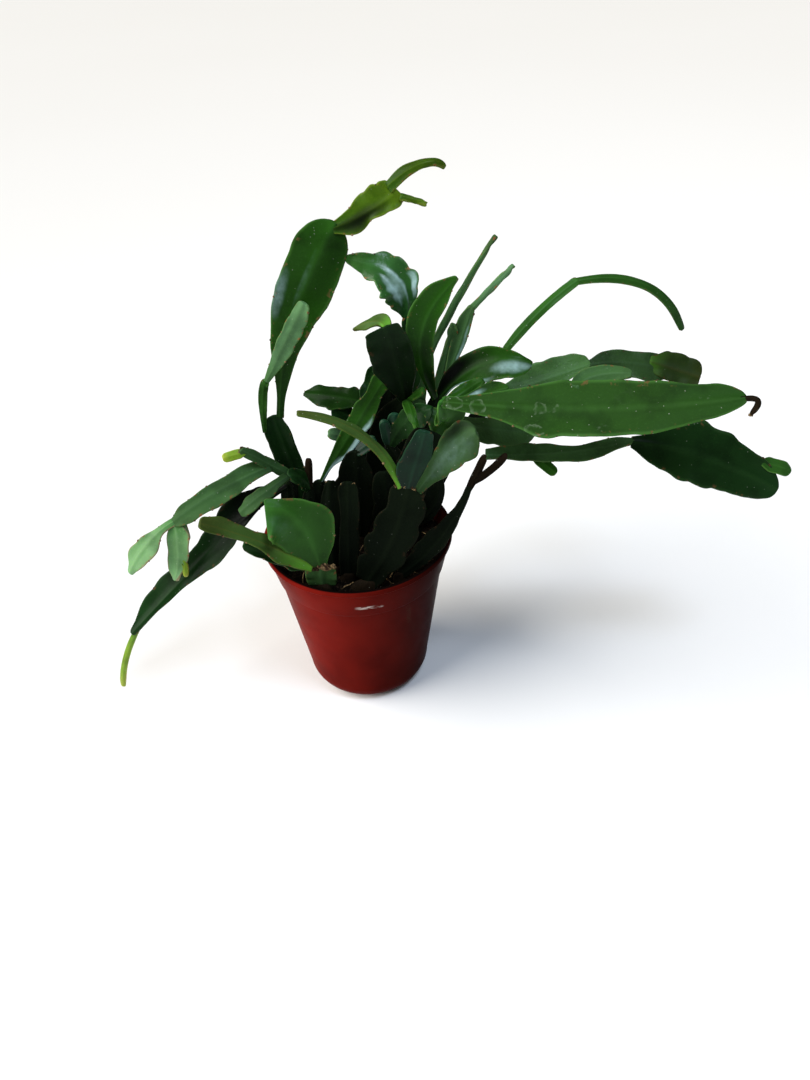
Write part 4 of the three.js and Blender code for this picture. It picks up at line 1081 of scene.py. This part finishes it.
            patches=(Patch(0.3, -0.25, 0.5, 0.75, -0.95),)),
        Segment("finger", "soft", (46.5, 33, 241), (37.1, 30, 243.2), at=0.88, side=0.5,
            tip_width=0.7, left=(1.6, 3, 2.2, 1.8, 1.7, 1.3),
            right=(3.2, 2.4, 1.8, 1.6, 1.6, 1.2), faces=(270, 40), tone=Tone.YOUNG,
            painted_shade=(0.1, 0.3)),
        Segment("short_finger", "soft", (38.5, 24, 230), at=0.95, side=-0.6, tip_width=0.7,
            left=(1.4, 1.4, 1.2, 1.1, 0.9), right=(1.4, 1.3, 1.2, 1.1, 0.9), faces=(270, 40),
            tone=Tone.YOUNG),
    )),
    Stem("stem_left_low", "stem_grey", Foot((-30, 7), 8, 4.4, 80), (
        carrier((-28, 5, 119), (-30, 5, 102), width=7, neck=6, faces=(272, 20)),
        Segment("grey", "carrier", (-48, 0, 137), (-38, 3, 127.5), width=5.5, neck=4, lobes=3,
            fold=10, faces=(270, 40), tone=Tone.DULL, cork=0.9),
        Segment("bud", "grey", (-56, -2, 134), at=0.9, width=4.6, neck=2.6, tip_width=0.6,
            faces=(270, 40), tone=Tone.FRESH),
        Segment("cane", "grey", (-80, -18, 112), (-61, -8, 120), at=0.4, side=0.3, tip_start=0.97,
            tip_width=0.9, left=(2.5, 3.6, 6.4, 6.8, 6.8, 6.4, 3),
            right=(4, 5.8, 5.1, 4.8, 4.3, 3.8, 2), lobes=5, notch=0.06, fold=10, faces=(262, 50),
            tone=Tone.DULL),
        Segment("pale_blade", "cane", (-100.4, -30, 94.6), (-91, -24, 106),
            left=(2, 2.2, 6.8, 5.8, 2.2), right=(2, 2.6, 4.3, 5.2, 2.2), lobes=3, notch=0.08,
            faces=(255, 50), tone=Tone.PALE),
        Segment("pale_fork", "cane", (-81.6, -29, 88), (-78.8, -24, 100), tip_width=0.7,
            left=(2, 6, 5.2, 4.6, 2.6, 1), right=(2, 4.6, 5, 4.6, 4.3, 1.6), faces=(262, 30),
            tone=Tone.PALE),
        Segment("prong", "pale_fork", (-76.8, -29, 89.9), (-76.4, -27, 94.5), at=0.66, side=0.6,
            width=2.8, neck=2.8, tip_width=0.4, faces=(262, 30), tone=Tone.FRESH),
        Segment("hook", "cane", (-74, -21, 104), at=0.9, side=0.3, width=3, neck=2.6,
            faces=(270, 40), tone=Tone.PALE),
    )),
    Stem("stem_left_trail", "stem_green", Foot((-31, -9), 8, 4.4, 70), (
        carrier((-29, -4, 121), (-30, -6, 102), width=7, neck=6, faces=(272, 20)),
        Segment("blade", "carrier", (-106, -36, 63), (-60.5, -16, 99.5), tip_start=0.98,
            tip_width=0.9, left=(2, 1.5, 1.2, 3.6, 8, 7.4, 3.6, 1.9, 1.4),
            right=(2, 5, 10, 12, 9, 7.5, 8, 7.4, 2), lobes=8, notch=0.1, fold=12, faces=(255, 55),
            tone=Tone.DEEP, painted_shade=(0.9, -0.2), patches=(Patch(0.3, 0, 0.35, 1.6, -0.5),)),
        Segment("thread", "blade", (-117.5, -38, 31), (-112.5, -37, 48), width=3, neck=2.6,
            tip_width=0.5, fold=0, faces=(270, 20), tone=Tone.FRESH),
    )),
    Stem("stem_left_curl", "stem_bright", Foot((-21, -9), 8, 4.4, 0), (
        carrier((-19, -7, 119), (-21, -8, 102), width=6, neck=6),
        Segment("knee", "carrier", (-27, -12, 129), (-22, -9, 126), width=8, neck=4,
            faces=(280, 60), tone=Tone.DEEP),
        Segment("blade", "knee", (-48, -24, 120), (-37, -19, 126), tip_start=0.95, tip_width=0.8,
            left=(1.5, 2, 3.6, 3.6, 4.7, 3), right=(2.6, 2.8, 3, 3.6, 3.9, 2), lobes=4, notch=0.1,
            faces=(262, 60), tone=Tone.DULL, cork=0.8, painted_shade=(0.6, 0.15)),
        Segment("spike", "carrier", (-18, -4, 133), width=3.4, neck=3, tip_width=0.6, fold=0,
            faces=(270, 20), tone=Tone.BARK),
    )),
)


@dataclass
class Models:
    """Small shapes that are modelled once and copied onto the stems and the soil."""

    cork: Material
    crust_lumps: float = 0.45  # share by which a crust's radius varies
    crumb_lumps: float = 0.5
    areole: Object = field(init=False)
    crust: Object = field(init=False)
    crumb: Object = field(init=False)

    def __post_init__(self) -> None:
        """Models an areole's woolly cushion, a corky crust and a crumb of soil."""
        ball, lump = bpy.ops.mesh.primitive_uv_sphere_add, bpy.ops.mesh.primitive_ico_sphere_add
        self.areole = primitive(ball, "areole_model", segments=7, ring_count=4, radius=1)
        smooth(self.areole)
        self.areole.data.materials.append(self.cork)
        self.crust = primitive(lump, "crust_model", subdivisions=4, radius=1)
        for vertex in self.crust.data.vertices:
            vertex.co *= 1 + self.crust_lumps * noise.fractal(vertex.co * 1.7, 0.6, 2.2, 4)
        self.crust.data.materials.append(self.cork)
        self.crumb = primitive(lump, "crumb_model", subdivisions=1, radius=1)
        for vertex in self.crumb.data.vertices:
            vertex.co *= 1 + self.crumb_lumps * noise.noise(vertex.co * 1.3)

    def removed(self) -> None:
        """Deletes the models once all their copies are made."""
        for model in (self.areole, self.crust, self.crumb):
            bpy.data.objects.remove(model)


@dataclass
class StemBuilder:
    """Grows a stem's blades, sets the areoles and crusts on them, and joins them."""

    stem: Stem
    tones: dict[Tone, Material]
    models: Models
    root_height: float = 83.0  # mm, where the first segment leaves the stem's base
    areole_size: float = 0.55  # mm
    base_height: float = 10.0  # mm
    base_middle: float = 79.5  # mm above the pot's base
    base_radii: Pair = (0.56, 0.42)  # shares of the foot's width, at the bottom and the top
    crowding: float = 4.0  # crusts to each crust's size of the tip's half width

    def root(self, grown: dict[str, Blade], segment: Segment) -> Vector:
        """Returns where a segment starts inside its parent, in millimetres.

        Args:
            grown: The blades made so far, by segment name.
            segment: The segment to place.

        Returns:
            The start of the segment's spine.
        """
        if segment.parent == "foot":
            return Vector((*self.stem.foot.at, self.root_height))
        parent = grown[segment.parent]
        _, side, normal = parent.frame(segment.at)
        across = segment.side * parent.half_width(segment.at, segment.side)
        rise = abs(across) * math.tan(math.radians(parent.segment.fold))
        return parent.point(segment.at) + side * across + normal * rise

    def base(self) -> Object:
        """Returns the woody base that sinks into the soil under the first segment."""
        foot = self.stem.foot
        low, high = self.base_radii
        piece = primitive(
            bpy.ops.mesh.primitive_cone_add, "base", vertices=20, radius1=low, radius2=high,
            depth=1, end_fill_type="TRIFAN",
        )
        size = Matrix.Diagonal((foot.width * MM, foot.depth * MM, self.base_height * MM, 1))
        turn = Matrix.Rotation(math.radians(foot.turn), 4, "Z")
        at = Matrix.Translation(Vector((*foot.at, self.base_middle)) * MM)
        piece.data.transform(at @ turn @ size)
        finish_with(piece, "SUBSURF", levels=2, render_levels=2)
        smooth(piece)
        piece.data.materials.append(self.tones[Tone.BARK])
        return piece

    def crusts(self, blade: Blade, chance: random.Random) -> list[Object]:
        """Returns the dry crusts along a blade's tip.

        Args:
            blade: The blade whose tip has healed over or dried.
            chance: The source of the crusts' uneven sizes.

        Returns:
            One object for each crust.
        """
        size = blade.segment.cork
        near_tip = 0.985
        half = blade.half_width(near_tip, 1.0)
        count = max(3, round(half * self.crowding / size))
        along, _, normal = blade.frame(0.99)
        pieces = []
        for number in range(count):
            across = -1 + 2 * (number + chance.random()) / count
            at = blade.surface(near_tip, across * 0.9) + along * chance.uniform(-0.45, 0.35) * size
            shape = tuple(size * MM * chance.uniform(0.25, 0.75) for _ in range(3))
            place = placement(at * MM, normal, shape, chance.uniform(0, 6))
            pieces.append(copied(self.models.crust, place))
        return pieces

    def built(self) -> Object:
        """Builds the whole stem.

        Returns:
            The joined, dressed object.
        """
        chance = random.Random(self.stem.node)
        grown: dict[str, Blade] = {}
        pieces = [self.base()]
        for segment in self.stem.segments:
            blade = Blade(segment, self.root(grown, segment))
            grown[segment.name] = blade
            leaf = blade.grown(segment.name)
            leaf.data.materials.append(self.tones[segment.tone])
            pieces.append(leaf)
            for at, outward in blade.areoles():
                # The more painted shade a segment carries, the more of its areoles are left out.
                if chance.random() < sum(segment.painted_shade):
                    continue  # old dark segments have lost most of their wool
                radius = self.areole_size * MM * chance.uniform(0.6, 1.15)
                shape = (radius, radius, radius * 0.8)
                pieces.append(copied(self.models.areole, placement(at, outward, shape)))
            if segment.cork:
                pieces.extend(self.crusts(blade, chance))
        stem = joined(pieces, self.stem.node.replace("stem", "grown"))
        dress(stem, self.stem.slot, self.stem.node)
        return stem


# ------------------------------------------------------------------ pot and soil
@dataclass
class Pot:
    """A thin moulded nursery pot: tapered body, stepped collar, thickened lip, rounded foot."""

    height: float = 88.0
    rim_radius: float = 45.0
    collar_radius: float = 40.8
    collar_height: float = 17.0
    collar_step: float = 1.0
    body_bottom_radius: float = 31.0
    foot_radius: float = 21.0
    foot_rise: float = 11.0
    lip_band: float = 2.2
    lip_stand: float = 1.0
    lip_under: float = 0.8
    wall: float = 1.4
    round_edge: float = 0.5
    steps: int = 144
    arc_steps: int = 14
    drain_count: int = 4
    drain_radius: float = 3.0
    drain_circle: float = 13.0
    cutter_height: float = 6.0

    def __post_init__(self) -> None:
        """Works out the height of the collar's lower edge and the body's radius there."""
        self.collar_bottom = self.height - self.collar_height
        self.body_top = self.collar_radius - self.collar_step

    def foot_arc(self, inset: float) -> list[Pair]:
        """Returns the quarter ellipse between the base and the wall, some millimetres inside."""
        reach = self.body_bottom_radius - self.foot_radius
        arc = []
        for step in range(self.arc_steps + 1):
            angle = step / self.arc_steps * math.pi / 2
            radius = self.foot_radius + (reach - inset) * math.sin(angle)
            arc.append((radius, inset + (self.foot_rise - inset) * (1 - math.cos(angle))))
        return arc

    def inside_radius(self, z: float) -> float:
        """Returns the radius of the inner wall at a height above the rounded foot."""
        top = self.body_top - self.wall
        if z >= self.collar_bottom:
            share = (z - self.collar_bottom) / self.collar_height
            return top + share * (self.rim_radius - self.lip_stand - self.wall - top)
        share = (z - self.foot_rise) / (self.collar_bottom - self.foot_rise)
        low = self.body_bottom_radius - self.wall
        return low + share * (top - low)

    def profile(self) -> list[Pair]:
        """Returns the wall's outline, up the outside and down the inside, as radius and height."""
        rim, edge = self.rim_radius, self.round_edge
        lip = self.height - self.lip_band
        inner_top = self.inside_radius(self.height)
        return [
            (0.0, 0.0),
            (self.foot_radius - 4, 0.0),
            *self.foot_arc(0.0),
            (self.body_top - 0.15, self.collar_bottom - 1.6),
            (self.body_top, self.collar_bottom - 1.2),
            (self.collar_radius - 0.2, self.collar_bottom - 0.25),
            (self.collar_radius, self.collar_bottom + 0.2),
            (rim - self.lip_stand - 0.2, lip - self.lip_under - 0.3),
            (rim - self.lip_stand + 0.1, lip - self.lip_under),
            (rim - 0.2, lip),
            (rim, lip + 0.3),
            (rim, self.height - edge),
            (rim - edge * 0.3, self.height - edge * 0.3),
            (rim - edge, self.height),
            (inner_top + edge, self.height),
            (inner_top + edge * 0.3, self.height - edge * 0.3),
            (inner_top, self.height - edge),
            (self.inside_radius(self.collar_bottom), self.collar_bottom),
            *reversed(self.foot_arc(self.wall)),
            (0.0, self.wall),
        ]

    def drained(self, pot: Object) -> None:
        """Cuts the ring of drain holes through the pot's base."""
        for number in range(self.drain_count):
            angle = (number + 0.5) * math.tau / self.drain_count
            x, y = (self.drain_circle * MM * turn(angle) for turn in (math.cos, math.sin))
            cutter = primitive(
                bpy.ops.mesh.primitive_cylinder_add, "drain_cutter", vertices=32,
                radius=self.drain_radius * MM, depth=self.cutter_height * MM, location=(x, y, 0),
            )
            finish_with(pot, "BOOLEAN", operation="DIFFERENCE", object=cutter, solver="EXACT")
            bpy.data.objects.remove(cutter)

    def built(self) -> Object:
        """Spins the profile to a shell, cuts the drain holes and dresses the pot.

        Returns:
            The finished pot.
        """
        mesh = bpy.data.meshes.new("pot_profile")
        points = [(radius * MM, 0.0, z * MM) for radius, z in self.profile()]
        mesh.from_pydata(points, [(i, i + 1) for i in range(len(points) - 1)], [])
        pot = bpy.data.objects.new("moulded_pot", mesh)
        bpy.context.scene.collection.objects.link(pot)
        around = {"center": (0, 0, 0), "axis": (0, 0, 1)}
        in_edit_mode(
            pot,
            lambda: bpy.ops.mesh.spin(steps=self.steps, angle=math.tau, **around),
            lambda: bpy.ops.mesh.remove_doubles(threshold=1e-6),
        )
        self.drained(pot)
        smooth(pot, 32)
        pot.data.materials.append(MouldedPolypropylene().made("moulded_polypropylene"))
        dress(pot, "pot", "pot")
        return pot


@dataclass
class Soil:
    """The filling: an uneven, crumbly top with bits of straw and dead root on it."""

    pot: Pot
    models: Models
    top: float = 80.0
    depth: float = 30.0
    gap: float = 0.35
    cells: int = 70
    crumbs: int = 420
    crumb_sizes: Pair = (0.35, 1.5)
    straws: int = 46
    straw_lengths: Pair = (4.0, 13.0)
    straw_widths: Pair = (0.16, 0.4)
    seed: int = 11
    roughness: float = 0.9  # mm, height of the surface's unevenness
    swell: float = 1.2  # mm, height of its broad humps

    def height(self, x: float, y: float) -> float:
        """Returns the soil's height at a place, in millimetres."""
        place = Vector((x, y, 0))
        coarse = noise.noise(place * 0.11) * self.swell
        return self.top + coarse + self.roughness * noise.fractal(place * 0.45, 0.7, 2.1, 4)

    def scattered(self, margin: float, chance: random.Random) -> Pair:
        """Returns a random place on the soil, some millimetres inside the pot's wall."""
        reach = self.pot.inside_radius(self.top) - margin
        angle, far = chance.uniform(0, math.tau), reach * math.sqrt(chance.random())
        return far * math.cos(angle), far * math.sin(angle)

    def bed(self) -> Object:
        """Returns the soil's body, its top uneven and its sides against the pot's wall."""
        piece = primitive(
            bpy.ops.mesh.primitive_grid_add, "potting_soil", x_subdivisions=self.cells,
            y_subdivisions=self.cells, size=2,
        )
        radius = self.pot.inside_radius(self.top) - self.gap
        for vertex in piece.data.vertices:
            x, y = vertex.co.x, vertex.co.y
            round_x = x * math.sqrt(max(0.0, 1 - y * y / 2)) * radius
            round_y = y * math.sqrt(max(0.0, 1 - x * x / 2)) * radius
            vertex.co = Vector((round_x, round_y, self.height(round_x, round_y))) * MM
        down = {"value": (0, 0, -self.depth * MM)}
        in_edit_mode(
            piece, lambda: bpy.ops.mesh.extrude_region_move(TRANSFORM_OT_translate=down)
        )
        low = self.top - self.depth
        shrink = self.pot.inside_radius(low) / self.pot.inside_radius(self.top)
        for vertex in piece.data.vertices:
            if vertex.co.z < (low + self.top) / 2 * MM:
                vertex.co = (vertex.co.x * shrink, vertex.co.y * shrink, low * MM)
        smooth(piece, 50)
        return piece

    def straw(self, chance: random.Random) -> Object:
        """Returns one bent fibre that lies on the soil."""
        length = chance.uniform(*self.straw_lengths)
        thickness = chance.uniform(*self.straw_widths)
        piece = primitive(
            bpy.ops.mesh.primitive_grid_add, "straw", x_subdivisions=9, y_subdivisions=1, size=1
        )
        centre = Vector((*self.scattered(length / 2 + 2, chance), 0))
        turn = Matrix.Rotation(chance.uniform(0, math.tau), 3, "Z")
        bend, lift = chance.uniform(-0.25, 0.25), chance.uniform(0.1, 1.8)
        for vertex in piece.data.vertices:
            t = 2 * vertex.co.x
            off = vertex.co.y * thickness * 2 + bend * length * t * t / 2
            place = centre + turn @ Vector((t * length / 2, off, 0))
            place.z = self.height(place.x, place.y) + 0.4 + lift * (t + 1) / 2
            vertex.co = place * MM
        finish_with(piece, "SOLIDIFY", thickness=thickness * MM, offset=0)
        finish_with(piece, "SUBSURF", levels=1, render_levels=1)
        return piece

    def crumb(self, chance: random.Random) -> Object:
        """Returns one crumb half sunk in the soil."""
        x, y = self.scattered(1.6, chance)
        size = chance.uniform(*self.crumb_sizes) * MM
        at = Vector((x, y, self.height(x, y) + 0.2)) * MM
        shape = (size, size * chance.uniform(0.6, 1), size * chance.uniform(0.5, 0.9))
        place = placement(at, Vector((0, 0, 1)), shape, chance.uniform(0, 6))
        return copied(self.models.crumb, place)

    def built(self) -> Object:
        """Builds the bed, strews crumbs and straws on it, and dresses it.

        Returns:
            The joined soil.
        """
        chance = random.Random(self.seed)
        peat, dry = PEAT.made("potting_soil"), STRAW.made("dry_straw")
        pieces = [self.bed(), *(self.crumb(chance) for _ in range(self.crumbs))]
        for piece in pieces:
            piece.data.materials.append(peat)
        for _ in range(self.straws):
            straw = self.straw(chance)
            straw.data.materials.append(dry)
            pieces.append(straw)
        soil = joined(pieces, "potting_soil")
        dress(soil, "soil", "soil")
        return soil


# ------------------------------------------------------------------ stage
@dataclass(frozen=True)
class Lamp:
    """A light and what it shines at."""

    name: str
    kind: str  # Blender's name for the light type
    energy: float  # in watts, or in watts per square metre for a sun
    colour: str
    at: Triple  # m
    size: float  # its width in metres, or a sun's width in degrees
    aim: Triple = (0.02, 0.0, 0.13)  # m, the middle of the plant

    def built(self) -> None:
        """Adds the light to the scene."""
        data = bpy.data.lights.new(self.name, self.kind)
        data.energy = self.energy
        data.color = linear(self.colour)[:3]
        if self.kind == "SUN":
            data.angle = math.radians(self.size)
        else:
            data.size = self.size
        light = bpy.data.objects.new(self.name, data)
        light.location = self.at
        ray = Vector(self.aim) - Vector(self.at)
        light.rotation_euler = ray.to_track_quat("-Z", "Y").to_euler()
        bpy.context.scene.collection.objects.link(light)


@dataclass(frozen=True)
class Studio:
    """A plain pale floor, a soft key light, a window-like highlight and an even sky."""

    floor_size: float = 14.0  # m
    floor_gap: float = 0.0002  # m, below the pot
    lens: float = 28.0  # mm on a 36 mm high frame
    camera_at: Triple = (0.0223, -0.3165, 0.3334)
    pitch: float = 38.6  # degrees below the horizon
    roll: float = -3.28
    sky: str = "#eef2f6"
    sky_strength: float = 0.16
    lamps: tuple[Lamp, ...] = (
        Lamp("key", "SUN", 4.4, "#fffdf8", (-1.15, -0.2, 1.1), 55),
        Lamp("window", "AREA", 7.0, "#d8e8ff", (0.35, -0.42, 1.25), 0.34),
    )

    def floor(self) -> None:
        """Lays the floor under the pot."""
        floor = primitive(
            bpy.ops.mesh.primitive_plane_add, "floor", size=self.floor_size,
            location=(0, 0, -self.floor_gap),
        )
        only(floor)
        bpy.ops.object.transform_apply(location=True, rotation=True, scale=True)
        floor.data.materials.append(PaintedBoard().made("painted_board"))
        floor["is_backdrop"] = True

    def camera(self) -> None:
        """Sets the camera at the viewing angle."""
        data = bpy.data.cameras.new("camera")
        data.sensor_fit = "VERTICAL"
        data.sensor_height = 36
        data.lens = self.lens
        data.clip_start = 0.01
        camera = bpy.data.objects.new("camera", data)
        tilt = Matrix.Rotation(math.radians(90 - self.pitch), 4, "X")
        roll = Matrix.Rotation(math.radians(self.roll), 4, "Z")
        camera.matrix_world = Matrix.Translation(self.camera_at) @ tilt @ roll
        bpy.context.scene.collection.objects.link(camera)
        bpy.context.scene.camera = camera

    def built(self) -> None:
        """Sets up the floor, the lights, the sky and the camera."""
        self.floor()
        for lamp in self.lamps:
            lamp.built()
        self.camera()
        world = bpy.data.worlds.new("sky")
        bpy.context.scene.world = world
        world.use_nodes = True
        background = world.node_tree.nodes["Background"]
        background.inputs["Color"].default_value = linear(self.sky)
        background.inputs["Strength"].default_value = self.sky_strength
        bpy.context.scene.view_settings.view_transform = "Standard"


def write_sizes() -> None:
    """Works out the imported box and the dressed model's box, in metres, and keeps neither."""
    boxes = {"cad": CAD_BOX, "visual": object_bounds()}
    {name: [list(corner) for corner in box] for name, box in boxes.items()}


def main() -> None:
    """Builds the pot, the soil and every stem, then the stage around them."""
    logging.basicConfig(level=logging.INFO, format="%(name)s: %(message)s")
    models = Models(CORK.made("cork"))
    pot = Pot()
    pot.built()
    Soil(pot, models).built()
    tones = {tone: tone.value.made(f"cuticle_{tone.name.lower()}") for tone in Tone}
    for stem in STEMS:
        StemBuilder(stem, tones, models).built()
    models.removed()
    Studio().built()
    write_sizes()


if __name__ == "__main__":
    main()
